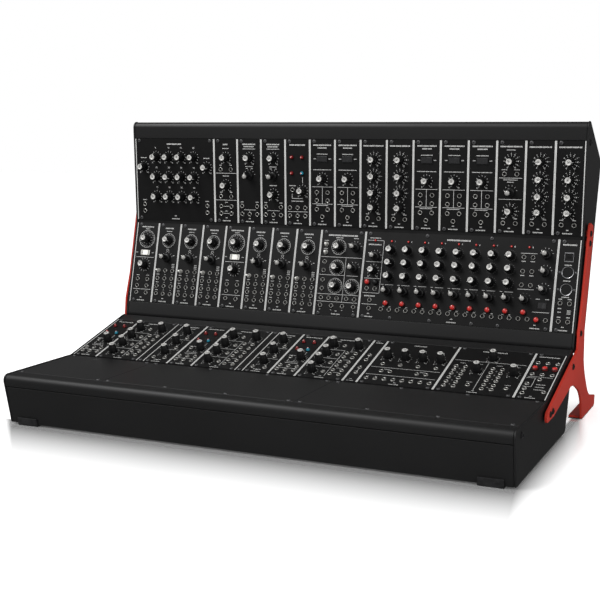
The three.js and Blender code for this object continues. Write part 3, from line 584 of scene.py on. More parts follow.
def selector_shapes():
    """A stepped selector: round skirt, tall pointer shaped grip, domed metal cap and white line."""
    look = bpy.context.scene.synth_selector
    wide, tall, cap = look.radius / MM, look.height / MM, look.cap_radius / MM
    skirt = SHAFT + [(wide - 0.3, 0.4), (wide, 0.7), (wide, 3.4), (wide - 0.5, 4.2),
                     (wide - 1.6, 4.6), (0, 4.6)]
    angle = np.radians(np.linspace(150, 390, 16))
    round_end = np.column_stack([np.cos(angle), np.sin(angle)]) * (cap + 0.5)
    nose = np.array([(1.0, wide - 0.2), (-1.0, wide - 0.2)])
    top = tall - 2.2
    grip = slab(np.concatenate([round_end, nose]), 4.4, top, 0.5)
    dome = [(0, top - 0.2), (cap, top - 0.2), (cap, top + 0.5), (cap * 0.86, top + 1.2),
            (cap * 0.6, top + 1.8), (cap * 0.3, top + 2.12), (0, top + 2.2)]
    return {
        "selectors": gathered([turned(skirt, 24, 24, 0.2), grip]),
        "domes": turned(dome, 20),
        "selector_lines": brick(-0.35, 0.35, cap + 0.1, wide - 1.2, top - 0.3, top + 0.12),
    }


def jack_shapes():
    """A mini jack socket: a nut with a bevelled crown around a black sleeve with a deep bore."""
    look = bpy.context.scene.synth_jack
    nut, bore = look.nut_radius / MM, look.bore_radius / MM
    inner = bore + 0.35
    crown = [(inner, -0.1), (nut, -0.1), (nut, 0.9), (nut - 0.5, 1.4), (inner + 0.4, 1.4),
             (inner, 1.1)]
    sleeve = [(0, -9), (inner + 0.1, -9), (inner + 0.1, 0.8), (bore, 0.8), (bore, -8), (0, -8)]
    return {
        "nuts": turned(crown, 12, ring=True),
        "sockets": turned(sleeve, 12),
    }


def paddle_rise(share):
    """Height of a rocker's top at a share of the way from its middle: 0.9 + 1.1 * share ** 1.4."""
    return 0.9 + 1.1 * np.abs(share) ** 1.4


def rocker_shapes(width, height, paddle):
    """A rocker switch: a thin black frame around a paddle that dips in its middle.

    A white paddle has three grey ribs across each of its ends.
    """
    half, high = width / 2, height / 2
    bars = [brick(-half - 0.9, half + 0.9, y, y + 0.9, -0.1, 0.55, 0.15)
            for y in (high + 0.1, -high - 1.0)]
    bars += [brick(x, x + 0.55, -high - 0.2, high + 0.2, -0.1, 0.5, 0.12)
             for x in (half + 0.35, -half - 0.9)]
    parts = {"rocker_frames": gathered(bars), paddle: paddle_shape(half, high)}
    if paddle == "white_paddles":
        ribs = []
        for share in (-0.86, -0.74, -0.62, 0.62, 0.74, 0.86):
            x, rise = share * half, paddle_rise(share) + 0.05
            ribs.append(brick(x - 0.28, x + 0.28, 0.3 - high, high - 0.3, rise - 0.5, rise))
        parts["ribs"] = gathered(ribs)
    return parts


def paddle_shape(half, high):
    """A rocker's paddle, with rounded ends, and a raised bar across one half near its end."""
    share = np.linspace(-1, 1, 13)
    top = paddle_rise(share)
    top[[0, -1]] -= 0.45
    count = len(share)
    x = share * half
    grid = [np.column_stack([x, np.full(count, y), top - drop]) for y, drop in
            ((-high, 0.35), (-high + 0.35, 0.0), (high - 0.35, 0.0), (high, 0.35))]
    grid += [np.column_stack([x, np.full(count, y), np.full(count, -3.4)]) for y in (high, -high)]
    starts = [row * count for row in range(len(grid))]
    faces = []
    for low, next_row in zip(starts, starts[1:] + starts[:1]):
        faces += band(low, next_row, count, False)
    faces += [starts, [start + count - 1 for start in reversed(starts)]]
    raised = brick(half * 0.62, half * 0.68, -high * 0.5, high * 0.5, 1.0, 1.75)
    return gathered([(np.concatenate(grid), faces), raised])


def toggle_shapes(lean):
    """A toggle switch: washer and hexagon nut, and a lever that grows towards its round tip.

    The lever leans by lean degrees about a line across the nut.
    """
    nut = [(0, -0.1), (2.9, -0.1), (2.9, 1.9), (2.5, 2.4), (2.1, 2.4), (2.0, 3.0), (1.8, 3.0),
           (1.8, 2.0), (0, 2.0)]
    washer = [(0, -0.1), (3.4, -0.1), (3.4, 0.35), (0, 0.35)]
    lever = [(0, -1), (0.95, -1), (1.0, 3), (1.2, 8), (1.37, 9.9), (1.2, 10.6), (0.75, 10.92),
             (0, 11)]
    points, faces = turned(lever, 12)
    cos, sin = math.cos(math.radians(lean)), math.sin(math.radians(lean))
    matrix = np.array([[cos, 0.0, sin], [0.0, 1.0, 0.0], [-sin, 0.0, cos]])
    pivot = np.array([0.0, 0.0, 2.0])
    return {
        "toggle_nuts": gathered([turned(washer, 24), turned(nut, 6)]),
        "toggle_levers": ((points - pivot) @ matrix + pivot, faces),
    }


def button_shapes(kind, rim):
    """A push button: a collar, a dull rim around the plunger, and the plunger's domed top. On the red
    button the rim is a darker red, painted shade at the edge of the dome.

    The dome's height at radius r falls from its middle by 1.1 * (r / radius) ** 2.
    """
    radius, rise = 3.2, 5.0
    wide = radius + 0.75
    collar = [(wide + 0.05, -0.1), (wide + 0.5, -0.1), (wide + 0.5, 0.5), (wide + 0.05, 0.5)]
    skirt = [(radius - 0.1, -3), (wide, -3), (wide, rise - 2.2), (radius - 0.1, rise - 1.4)]
    shares = (0.96, 0.88, 0.72, 0.5, 0.25, 0.0)
    dome = [(radius * share, rise - 1.1 * share ** 2) for share in shares]
    plunger = [(0, -3.2), (radius, -3.2), (radius, rise - 1.5)] + dome
    return {
        "collars": turned(collar, 20, ring=True),
        rim: turned(skirt, 20, ring=True),
        kind: turned(plunger, 20),
    }


def lamp_shapes(kind, radius=3.2, rise=4.6):
    """A lamp: a thin bezel around a domed lens of elliptical section, with a pale disc on its tip that
    is a painted highlight.
    """
    wide = radius * 0.86
    dome = [(wide * math.cos(t), 0.5 + (rise - 0.5) * math.sin(t))
            for t in np.radians([0, 25, 50, 72])]
    body = [(0, -2.5), (wide, -2.5)] + dome + [(0, rise)]
    bezel = [(radius * 0.84, -0.1), (radius, -0.1), (radius, 0.45), (radius * 0.92, 0.8),
             (radius * 0.84, 0.8)]
    # The pale disc on the tip is a painted highlight
    glint = [(0, rise - 0.3), (radius * 0.3, rise - 0.3), (radius * 0.3, rise - 0.05), (0, rise)]
    return {"bezels": turned(bezel, 16, ring=True), kind: turned(body, 16),
            "glints": turned(glint, 10)}


def screw_shapes():
    """A pan head screw: a low dome with two black bars across it, painted shade of its cross recess."""
    head = [(0, -1), (2.7, -1), (2.7, 0.6), (2.35, 1.05), (1.6, 1.35), (0, 1.5)]
    # Black bars laid over the dome: painted shade where the cross recess would be
    slots = [bar(-1.3, 0, 1.3, 0, 0.5, 1.0, 1.56), bar(0, -1.3, 0, 1.3, 0.5, 1.0, 1.565)]
    return {"screws": turned(head, 12), "screw_slots": gathered(slots)}


# Modules: what sits on each panel

# Material and record slot of each kind of shape
KINDS = {
    "knobs": ("knob", "black_plastic"),
    "caps": ("cap", "silver_knob"),
    "pointers": ("ink", "white_plastic"),
    # The dark cross on the knob caps is a painted reflection
    "cap_marks": ("screw", "silver_knob"),
    "selectors": ("knob", "black_plastic"),
    "domes": ("dome", "silver_knob"),
    "selector_lines": ("pointer", "white_plastic"),
    "nuts": ("nut", "silver_knob"),
    "sockets": ("bore", "black_plastic"),
    "rocker_frames": ("black_button", "black_plastic"),
    "white_paddles": ("white_rocker", "white_plastic"),
    "dark_paddles": ("dark_rocker", "black_plastic"),
    "ribs": ("screw", "black_plastic"),
    "toggle_nuts": ("nut", "silver_knob"),
    # The toggles' metal levers take the white pointer plastic: a painted highlight
    "toggle_levers": ("pointer", "silver_knob"),
    "collars": ("bore", "black_plastic"),
    "red_buttons": ("red_button", "red_plastic"),
    "black_buttons": ("black_button", "black_plastic"),
    # The red rims' darker red is painted shade at the edge of the buttons' domes
    "red_rims": ("red_rim_shade", "red_plastic"),
    "black_rims": ("bore", "black_plastic"),
    "bezels": ("bore", "black_plastic"),
    # Pale discs on the lamps' tips are painted highlights
    "glints": ("glint", "white_plastic"),
    "red_lamps": ("red_lamp", "red_plastic"),
    "lit_lamps": ("lit_lamp", "red_plastic"),
    "blue_lamps": ("blue_lamp", "white_plastic"),
    "screws": ("screw", "silver_knob"),
    # The black bars on the screw heads are painted shade of their cross recesses
    "screw_slots": ("bore", "black_plastic"),
    "shells": ("shell", "silver_knob"),
    "inserts": ("bore", "black_plastic"),
    "strips": ("strip", "white_plastic"),
    "legends": ("ink", "white_plastic"),
    "faint_legends": ("faint_ink", "white_plastic"),
}

# Parts of a control that stay on the panel while the control moves
STILL_KINDS = ("rocker_frames", "toggle_nuts", "collars")

# Print on the panels, in millimetres
INK_TOP = 0.06
INK_BASE = -0.04
FINE_LINE = 0.5
TICK = 0.4
STROKE = 0.3
STRIP = 1.2
STRIP_ENDS = (0.5, 128.0)
CAPTION = 1.3

# Strokes of each digit, in shares of its width and height
STROKES = {
    "0": ((0, 0, 0, 1), (1, 0, 1, 1), (0, 0, 1, 0), (0, 1, 1, 1)),
    "1": ((0.5, 0, 0.5, 1), (0.2, 0.8, 0.5, 1)),
    "2": ((0, 1, 1, 1), (1, 1, 1, 0.5), (0, 0.5, 1, 0.5), (0, 0.5, 0, 0), (0, 0, 1, 0)),
    "3": ((0, 1, 1, 1), (1, 1, 1, 0), (0, 0.5, 1, 0.5), (0, 0, 1, 0)),
    "4": ((0, 1, 0, 0.5), (0, 0.5, 1, 0.5), (1, 1, 1, 0)),
    "5": ((0, 1, 1, 1), (0, 1, 0, 0.5), (0, 0.5, 1, 0.5), (1, 0.5, 1, 0), (0, 0, 1, 0)),
    "6": ((0, 1, 1, 1), (0, 1, 0, 0), (0, 0.5, 1, 0.5), (1, 0.5, 1, 0), (0, 0, 1, 0)),
    "7": ((0, 1, 1, 1), (1, 1, 0.4, 0)),
    "8": ((0, 0, 0, 1), (1, 0, 1, 1), (0, 0, 1, 0), (0, 1, 1, 1), (0, 0.5, 1, 0.5)),
    "9": ((0, 0.5, 0, 1), (1, 0, 1, 1), (0, 0, 1, 0), (0, 1, 1, 1), (0, 0.5, 1, 0.5)),
}

# Radii of the panel holes of the controls, and the gap around a rocker, in millimetres
CONTROL_HOLES = {"knob": 3.2, "selector": 3.2, "jack": 2.9, "toggle": 2.6, "button": 4.9,
                 "lamp": 2.9, "small_lamp": 1.7}
ROCKER_GAP = 0.2
HOLE_SIDES = 12

# Lean of the toggles' levers at rest, in degrees
TOGGLE_LEAN = -12.0


class Module:
    """Everything that sits on one module, by kind, on the plane of its row."""

    def __init__(self, name, row):
        self.name = name
        self.plane = PLANES[row]
        self.kinds = {}
        self.loose = {}
        self.plates = []

    def add(self, shapes, x, y, turn=0.0, loose=None):
        """Adds a control's shapes at (x, y). Its moving parts go to the node named by loose."""
        for kind, shape in shapes.items():
            moving = loose and kind not in STILL_KINDS
            store = self.loose.setdefault(loose, {}) if moving else self.kinds
            store.setdefault(kind, []).append(moved(shape, x, y, turn))


# Turns from straight up, in radians: a knob's eleven steps, and a selector's six
KNOB_TURNS = np.radians(np.linspace(-150, 150, 11))
SELECTOR_TURNS = np.radians(np.linspace(-75, 75, 6))


class Panel:
    """One panel of a module. Places on it are in millimetres from its lower left corner."""

    def __init__(self, module, first, last):
        self.module = module
        self.left = UNIT * first - ROW_HALF
        self.width = UNIT * (last - first)
        self.middle = self.width / 2
        self.round_holes = []
        self.long_holes = []

    def across(self, *shares):
        """Places across the panel of shares of its clear width."""
        return [PANEL_GAP + share * (self.width - 2 * PANEL_GAP) for share in shares]

    def put(self, shapes, x=0.0, y=0.0, turn=0.0, loose=None):
        """Adds shapes at a place on the panel."""
        self.module.add(shapes, self.left + x, y, turn, loose)

    def add(self, kind, x, y, turn=0.0, loose=None):
        """Adds a control of a kind with its panel hole."""
        hole = CONTROL_HOLES.get(kind) or CONTROL_HOLES[kind.split("_")[-1]]
        self.round_holes.append((x, y, hole))
        self.put(control(kind), x, y, turn, loose)

    def knobs(self, xs, shares, loose=None, scale=None):
        """Knobs at places across and shares up, each with print around it that scale draws.

        The first one rides on the node named by loose, and points straight up. The others are
        turned by up to 120 degrees either way, scattered by their place.
        """
        scale = scale or self.scale
        for x in xs:
            for share in shares:
                y = share * PANEL_HEIGHT
                turn = 0.0 if loose else (x * 37 + self.left * 13 + y * 7) % 240 - 120
                self.add("knob", x, y, turn, loose)
                loose = None
                scale(x, y)

    def selectors(self, xs, shares, loose=None, turns=(55, 20, 40), kind="legends"):
        """Stepped selectors with printed ticks over each. The first can be the loose one."""
        places = [(x, share * PANEL_HEIGHT) for x in xs for share in shares]
        for index, (x, y) in enumerate(places):
            turn = 0.0 if loose else turns[index % len(turns)]
            self.add("selector", x, y, turn, loose)
            loose = None
            self.spokes(x, y, SELECTOR_TURNS, 8.4, 10.0, kind)

    def rocker(self, x, share, width, high, paddle, loose=None):
        """A rocker switch with its panel cut out."""
        y = share * PANEL_HEIGHT
        self.long_holes.append((x, y, width / 2 + ROCKER_GAP, high / 2 + ROCKER_GAP))
        self.put(rocker_shapes(width, high, paddle), x, y, 0.0, loose)

    def jacks(self, *places):
        """Mini jack sockets."""
        for x, y in places:
            self.add("jack", x, y)

    def jack_grid(self, xs, *ys):
        """Mini jack sockets in rows and columns."""
        self.jacks(*((x, y) for x in xs for y in ys))

    def mark(self, x0, y0, x1, y1, width=FINE_LINE, kind="legends"):
        """A printed line."""
        self.put({kind: bar(x0, y0, x1, y1, width, INK_BASE, INK_TOP)})

    def line(self, *points):
        """A printed line through several points."""
        for start, end in zip(points, points[1:]):
            self.mark(*start, *end)

    def rules(self, left, right, *heights):
        """Level printed lines at several heights."""
        for y in heights:
            self.mark(left, y, right, y)

    def spokes(self, x, y, turns, inner, outer, kind="legends"):
        """Ticks that point away from (x, y), from inner to outer, at turns from straight up."""
        for turn in turns:
            side, up = math.sin(turn), math.cos(turn)
            self.mark(x + inner * side, y + inner * up, x + outer * side, y + outer * up, TICK,
                      kind)

    def ticks(self, x, y, inner, outer, count, kind="legends"):
        """Ticks all the way around a knob."""
        self.spokes(x, y, np.arange(count) * (2 * np.pi / count), inner, outer, kind)

    def ring(self, x, y, radius, sides=40):
        """A printed ring."""
        points = [(x + radius * math.sin(turn), y + radius * math.cos(turn))
                  for turn in np.linspace(0, 2 * np.pi, sides + 1)]
        for start, end in zip(points, points[1:]):
            self.mark(*start, *end, TICK)

    def scale(self, x, y):
        """Ticks around a knob from one end of its turn to the other, with end numbers."""
        self.spokes(x, y, KNOB_TURNS, 7.6, 9.4)
        self.number("0", x - 7.4, y - 9.8)
        self.number("10", x + 5.2, y - 9.8)

    def faint_scale(self, x, y):
        """Faint ticks around a knob."""
        self.ticks(x, y, 7.2, 8.2, 16, "faint_legends")

    def open_scale(self, x, y):
        """Long ticks, wide apart, around a knob."""
        self.ticks(x, y, 8.8, 11.0, 14)

    def dial(self, x, y):
        """A scale of ticks with a number at each of its eleven steps, and marks outside them."""
        self.spokes(x, y, KNOB_TURNS, 7.0, 8.2)
        for step, turn in enumerate(KNOB_TURNS):
            side, up = math.sin(turn), math.cos(turn)
            self.number(str(step), x + 10 * side - 0.5, y + 10 * up - 0.75, 1.5)
            if step > 4:
                self.mark(x + 12.4 * side, y + 12 * up, x + 13.2 * side, y + 12.4 * up, TICK)

    def ringed(self, x, y):
        """A closed ring around a knob, with ticks inside it and a small ring under it."""
        self.ticks(x, y, 8.6, 10.4, 20)
        self.ring(x, y, 11.2)
        self.ring(x, y - 15.6, 1.9, sides=12)

    def wide_ticked(self, x, y):
        """A closed ring close around a knob, with ticks inside it."""
        self.ticks(x, y, 8.8, 10.6, 20)
        self.ring(x, y, 11.4)

    def wide_ringed(self, x, y):
        """A wide closed ring around a knob, with two rows of ticks inside it."""
        self.ticks(x, y, 11, 13, 24)
        self.ticks(x, y, 7.6, 8.6, 10)
        self.ring(x, y, 13.9)

    def number(self, digits, x, y, high=1.7):
        """Digits drawn in strokes, from a lower left corner."""
        wide = high * 0.58
        for place, digit in enumerate(digits):
            start = x + place * wide * 1.6
            for x0, y0, x1, y1 in STROKES[digit]:
                self.mark(start + x0 * wide, y + y0 * high, start + x1 * wide, y + y1 * high,
                          STROKE)

    def label(self, x, y, width, high=CAPTION):
        """A printed bar around (x, y) that stands where the photo's panel has a caption.

        It is broken into blocks narrower than they are high, with a wider gap after every sixth.
        """
        count = max(1, round(width / (0.42 + 0.6 * high)))
        step = width / count
        for place in range(count):
            wide = step * (0.35 if place % 6 == 5 else 0.58)
            start = x - width / 2 + place * step
            self.put({"legends": brick(
                start, start + wide, y - high / 2, y + high / 2, INK_BASE, INK_TOP)})

    def labels(self, xs, ys, width, high=CAPTION):
        """The same printed bar in rows and columns."""
        for x in xs:
            for y in ys:
                self.label(x, y, width, high)

    def captions(self, x, *bars, foot=14):
        """Printed bars over each other, each (y, width, height), and the two at the foot."""
        for y, width, high in (*bars, (7.6, 3.6, CAPTION), (3, foot, 1.5)):
            self.label(x, y, width, high)

    def close(self, strips=True):
        """Cuts the panel's plate and prints a strip along each of its sides."""
        holes = [circle(x, y, radius, HOLE_SIDES) for x, y, radius in self.round_holes]
        for x, y, wide, high in self.long_holes:
            holes.append(np.array([(x - wide, y - high), (x + wide, y - high),
                                   (x + wide, y + high), (x - wide, y + high)]))
        low, high = PANEL_GAP, self.width - PANEL_GAP
        points, faces = plate(low, high, 0.0, PANEL_HEIGHT, holes, PANEL_THICKNESS)
        self.module.plates.append((points + np.array([self.left, 0.0, 0.0]), faces))
        if strips:
            for x in (low, high - STRIP):
                self.put({"strips": brick(x, x + STRIP, *STRIP_ENDS, INK_BASE, INK_TOP)})


SHAPES = {}


def control(kind):
    """The shapes of a kind of control, made the first time that it is asked for."""
    if not SHAPES:
        SHAPES.update({
            "knob": knob_shapes(),
            "selector": selector_shapes(),
            "jack": jack_shapes(),
            "toggle": toggle_shapes(TOGGLE_LEAN),
            "upright_toggle": toggle_shapes(0.0),
            "red_button": button_shapes("red_buttons", "red_rims"),
            "black_button": button_shapes("black_buttons", "black_rims"),
            "red_lamp": lamp_shapes("red_lamps"),
            "blue_lamp": lamp_shapes("blue_lamps"),
            "small_lamp": lamp_shapes("lit_lamps", 1.8, 2.4),
            "screw": screw_shapes(),
        })
    return SHAPES[kind]


# Delaunay fill: the mode that leaves holes open, and the distance under which points are one
INSIDE_HOLES, FILL_MERGE = 2, 1e-6


def plate(x0, x1, y0, y1, holes, thick):
    """Plate from -thick to 0 with holes cut through it.

    The faces of its front and back are a constrained Delaunay fill between the outline and
    the rings of the holes. Each ring has a wall of straight quads between the two.
    """
    outline = np.array([(x0, y0), (x1, y0), (x1, y1), (x0, y1)])
    loops, edges, start = [outline] + holes, [], 0
    for loop in loops:
        count = len(loop)
        edges.extend([(start + i, start + (i + 1) % count) for i in range(count)])
        start += count
    flat = [Vector(point) for point in np.concatenate(loops).tolist()]
    found, _, fill, sources, *_ = delaunay_2d_cdt(flat, edges, [], INSIDE_HOLES, FILL_MERGE)
    front = np.array([(point.x, point.y) for point in found])
    count = len(front)
    place = {origin: index for index, origins in enumerate(sources) for origin in origins}
    points = np.concatenate([
        np.column_stack([front, np.zeros(count)]), np.column_stack([front, np.full(count, -thick)])
    ])
    faces = [list(face) for face in fill] + [[i + count for i in reversed(face)] for face in fill]
    for low, high in edges:
        a, b = place[low], place[high]
        if low >= len(outline):
            a, b = b, a
        faces.append([a + count, b + count, b, a])
    return points, faces


# Layouts of the panels: places across are in millimetres or shares of the panel's clear width,
# and places up are in millimetres or, for knobs, selectors and rockers, shares of its height


def filter_bank_panel(panel):
    """Twelve band knobs in three rows, a knob at each end, and four jacks."""
    bands = panel.across(0.264, 0.423, 0.582, 0.742)
    ends = panel.across(0.101, 0.906)
    panel.knobs([bands[1]], [0.296], "filter_bank_knob")
    panel.knobs([bands[0], bands[2], bands[3]], [0.296])
    panel.knobs(bands, [0.778, 0.537])
    panel.knobs(ends, [0.658])
    for row, y in enumerate((113.7, 82.8, 51.8)):
        for column, x in enumerate(bands):
            panel.number(str((row * 4 + column + 1) * 5), x - 1.4, y - 0.4, 2.0)
    panel.labels(ends, [98.5], 11)
    panel.labels(ends, [32], 7)
    panel.captions(71, (120, 26, 2.0))
    panel.jack_grid((14.4, 128.8), 25, 14.4)


def noise_filter_panel(panel):
    """Two knobs over pairs of jacks, parted by printed lines."""
    middle, columns = panel.middle, (11.4, 29.2)
    panel.knobs([middle], [0.778, 0.451])
    panel.jack_grid(columns, 82, 40.8, 25.4, 14.4)
    panel.rules(2, 38.6, 76.3, 35.0)
    panel.rules(15.5, 25.1, 25.4, 14.4)
    panel.labels([middle], [113.9, 72], 11)
    panel.labels(columns, [88.4, 47], 4)
    panel.labels([middle], [31.5, 18], 5, 1.0)
    panel.captions(middle, (120, 9, 2.0))


def selector_filter_panel(panel, low, loose=None):
    """A high or low pass filter: knob, selector, jacks, and one more knob on the low pass."""
    middle, ends = panel.middle, (7.5, 33.1)
    panel.knobs([middle], [0.778, 0.355] if low else [0.778])
    panel.selectors([middle], [0.568], loose)
    panel.labels([middle - 4, middle + 4.6], [84], 3, 1.0)
    panel.jack_grid(ends, 26.8)
    panel.jack_grid((7.5, 20.3, 33.1), 14.6)
    panel.rules(10, 30.5, 21)
    panel.labels(ends, [33], 5)
    if low:
        panel.label(middle, 59, 12)
    panel.captions(middle, (120.5, 22, 1.9), (117, 18, 1.7), (113.6, 21, 1.1), (87, 13, 1.1))


def control_voltage_panel(panel, loose=None):
    """Four lamps, a knob and a bracket of jacks."""
    left, right = panel.across(0.283, 0.7)
    for kind, x, share in (("red_lamp", left, 0.794), ("red_lamp", right, 0.794),
                           ("red_lamp", left, 0.61), ("blue_lamp", right, 0.61)):
        panel.add(kind, x - 0.6, share * PANEL_HEIGHT)
    panel.knobs([right], [0.408], loose)
    panel.line((28.5, 72.5), (28.5, 63.5))
    panel.label(12, 59.6, 11)
    panel.jacks((12, 53.4))
    panel.line((11.2, 47.5), (11.2, 40.6), (28.7, 40.6))
    panel.jack_grid((7.5, 20.3, 33.1), 26.6, 14.6)
    panel.rules(4, 36.6, 20.7)
    panel.captions(panel.middle, (120, 26, 1.9), (36.5, 20, 1.2))


def amplifier_panel(panel, loose=None):
    """A dark rocker, a knob and seven jacks joined by printed lines."""
    middle = panel.middle
    panel.rocker(middle, 0.778, 15.6, 8.0, "dark_paddles", loose)
    panel.knobs([middle], [0.553])
    panel.labels((8.5, 32.5), [100], 4, 1.1)
    panel.rules(4, 36.6, 58.8, 33.5)
    panel.line((20.3, 58.8), (20.3, 33.5))
    panel.jack_grid((11.4, 29.0), 50.6, 38.5, 25.4)
    panel.jacks((20.3, 14.4))
    panel.captions(middle, (120, 29, 1.9), (116, 14.5, 1.7), (107, 17.5, 1.1), (84, 29, 1.1),
                   (31.4, 19, 1.1))


def envelope_panel(panel, loose=None):
    """Four knobs above each other, with numbered dials around all but the lowest, and two jacks."""
    middle = panel.middle
    panel.knobs([middle], [0.591], loose, panel.dial)
    panel.knobs([middle], [0.778, 0.409], None, panel.dial)
    panel.knobs([middle], [0.245])
    panel.labels((11.4, 29), [21], 5, 1.0)
    panel.jack_grid((11.4, 29.0), 14.6)
    panel.captions(middle, (119.6, 31, 1.9))


def trigger_delay_panel(panel):
    """Knob, pair of jacks, selector and a lower knob with its jacks."""
    middle = panel.middle
    panel.knobs([middle], [0.778, 0.245], None, panel.dial)
    panel.selectors([middle], [0.448])
    panel.labels((11.4, 29), [88.4], 8, 1.0)
    panel.jack_grid((11.4, 29.0), 82.5, 14.6)
    panel.rules(4, 36.6, 77, 47.6)
    panel.labels((11.4, 29), [21], 5)
    panel.captions(middle, (120, 31, 1.9), (115.4, 13, 1.1), (74.4, 20, 1.1), (71.4, 9, 1.1))


def driver_panel(panel, knob=None, rocker=None):
    """An oscillator bank's driver: two knobs, a white rocker and six jacks."""
    (middle,) = panel.across(0.504)
    panel.knobs([middle], [0.794], knob, panel.wide_ringed)
    panel.knobs([middle], [0.471], None, panel.open_scale)
    panel.rocker(middle, 0.623, 15.6, 8.0, "white_paddles", rocker)
    panel.labels((4.6, 34), [80], 4, 1.0)
    panel.labels((11.4, 29.2), [43.5], 6, 1.0)
    panel.jack_grid((11.4, 29.2), 37.2, 26.5, 15.2)
    panel.rules(4, 36.6, 72.5, 20.8)
    panel.captions(middle, (121.6, 22, 1.9), (118.2, 8, 1.2))


def oscillator_panel(panel, selector=None, toggle=None):
    """One oscillator: knob, selector, toggle, a square of nine jacks and two more over it.

    A toggle with a joint of its own stands upright.
    """
    middle = panel.middle
    panel.knobs([middle], [0.786], None, panel.ringed)
    panel.selectors([middle], [0.568], selector)
    panel.labels([33.4], (63, 60.4, 57.8), 5, 1.2)
    panel.labels((8, 32.6), [77], 3, 1.1)
    for x in panel.across(0.185):
        panel.add("upright_toggle" if toggle else "toggle", x, 0.408 * PANEL_HEIGHT, 0.0, toggle)
    panel.jacks((20.3, 52.5), (33.1, 52.5))
    panel.jack_grid((7.5, 20.3, 33.1), 40, 27.5, 15.2)
    gaps = (46.4, 33.8, 21.4)
    panel.labels([7.5], gaps, 5, 1.1)
    panel.labels((20.3, 33.1), gaps, 1.8, 1.0)
    panel.captions(middle, (120.5, 15, 2.0), (115.6, 10, 1.1))


def large_oscillator_panel(panel):
    """Two toggles, four knobs and two selectors among printed boxes, and thirteen jacks."""
    toggle, left, right = panel.across(0.134, 0.42, 0.8)
    for share in (0.833, 0.739):
        y = share * PANEL_HEIGHT
        panel.add("toggle", toggle, y)
        panel.label(toggle, y + 5.4, 7, 1.1)
    panel.knobs([left], [0.805], "large_oscillator_knob", panel.wide_ticked)
    panel.knobs([left], [0.564, 0.35], None, panel.wide_ticked)
    panel.knobs([right], [0.35], None, panel.wide_ticked)
    panel.selectors([right], [0.805, 0.564])
    panel.label(30, 117.2, 12)
    panel.label(right, 117, 8)
    panel.rules(3, 68, 88, 32.3, 21.2)
    panel.line((43.4, 88), (43.4, 21.2))
    panel.rules(3, 43.4, 61)
    panel.rules(47, 65, 61)
    panel.jack_grid([9.5], 80.6, 67.5, 53.5, 40.3)
    panel.jack_grid((9.5, 22, 35, 50.3, 63), 26.5)
    panel.jack_grid((9.5, 27.2, 45, 62.8), 15.2)
    panel.labels((9.5, 27.2, 45, 62.8), [9], 1.8, 1.0)
    panel.captions(35.5, (120.8, 47, 2.2))


def sequencer_steps(panel):
    """Nine steps of lamp, number, selector and button. Eight of them also have three knobs."""
    columns = panel.across(*(0.1455 + 0.08914 * step for step in range(9)))
    high, *others = 0.798, 0.649, 0.496
    panel.knobs(columns[:1], [high], "sequencer_knob", panel.faint_scale)
    panel.knobs(columns[:1], others, None, panel.faint_scale)
    panel.knobs(columns[1:8], [high, *others], None, panel.faint_scale)
    turns = (20, 12, 14, 36, 34, 16, 30, 12, 24)
    panel.selectors(columns, [0.327], "sequencer_selector", turns, "faint_legends")
    for index, x in enumerate(columns):
        panel.add("red_button", x, 0.19 * PANEL_HEIGHT, 0.0, None if index else "sequencer_button")
        panel.add("small_lamp", x + 0.2, 115.4)
        panel.number(str(index + 1), x + 4.6, 114.5, 1.8)
    for x in columns[:8]:
        for start, end, y in ((-10.5, -6.5, 51.5), (-4, 8.5, 51.5), (-5, -2, 19.6), (5, 8, 19.6)):
            panel.rules(x + start, x + end, y)
    panel.jack_grid([34.9 + 12.7 * step for step in range(18)], 15.2)


def sequencer_panel(panel):
    """The steps, a printed box of controls on their left and a column of controls on their right."""
    sequencer_steps(panel)
    box, selector, red, black, right, rocker, last = panel.across(
        0.058, 0.063, 0.0334, 0.0773, 0.946, 0.949, 0.926)
    panel.selectors([selector], [0.716])
    panel.knobs([box], [0.556])
    panel.line((3.9, 115.7), (28.6, 115.7), (29.5, 114.8), (29.5, 38.9), (28.6, 38), (3.9, 38))
    panel.add("small_lamp", 16, 115.6)
    panel.rules(4, 29.5, 84, 59.5)
    panel.add("red_button", red, 0.42 * PANEL_HEIGHT)
    panel.add("black_button", black, 0.42 * PANEL_HEIGHT)
    panel.jacks((9.8, 44.4), (22.3, 44.4), (16, 27.5), (16, 15.2))
    panel.label(15.5, 33.5, 17, 1.8)
    panel.rules(4, 28, 21.3)
    panel.selectors([right], [0.825, 0.638, 0.444])
    panel.jack_grid((238, 250.8), 101.3, 81.5, 62.3)
    panel.rules(233, 256, 106.8, 56.5)
    panel.labels((238, 250.8), (95.5, 75.7), 6)
    panel.rocker(rocker, 0.272, 11.0, 8.0, "dark_paddles", "sequencer_rocker")
    panel.labels((263, 276), [44], 6, 1.1)
    panel.rules(257, 280, 25.8)
    panel.add("red_button", last, 0.118 * PANEL_HEIGHT)
    panel.jacks((276, 15.2))
    panel.captions(16, (119.2, 17, CAPTION), (109.5, 20, 1.8))
    panel.captions(142.5, (120.7, 35, 2.2))
    panel.captions(262)
    low, high = SCREW_ROWS
    for x, y in ((95, high), (190, high), (50, low), (110, low), (172, low), (210, low)):
        panel.put(control("screw"), x, y, x % 90)


def interface_panel(panel):
    """A square and two round multi pin sockets, four jacks and a plain mark."""
    (middle,) = panel.across(0.514)
    square_socket(panel, middle, 0.809 * PANEL_HEIGHT)
    for share in (0.645, 0.46):
        round_socket(panel, middle, share * PANEL_HEIGHT)
    panel.labels([middle], (93, 71.2, 48.8), 10)
    panel.jack_grid((9.3, 22.0), 40.3, 15.2)
    panel.labels((9.3, 22), (46, 21), 5)
    panel.labels([9.3], (33, 28), 5)
    panel.rules(19.5, 24.5, 26, 27.6, 29.2, 30.8)
    panel.captions(middle, (121, 20, 2.0))


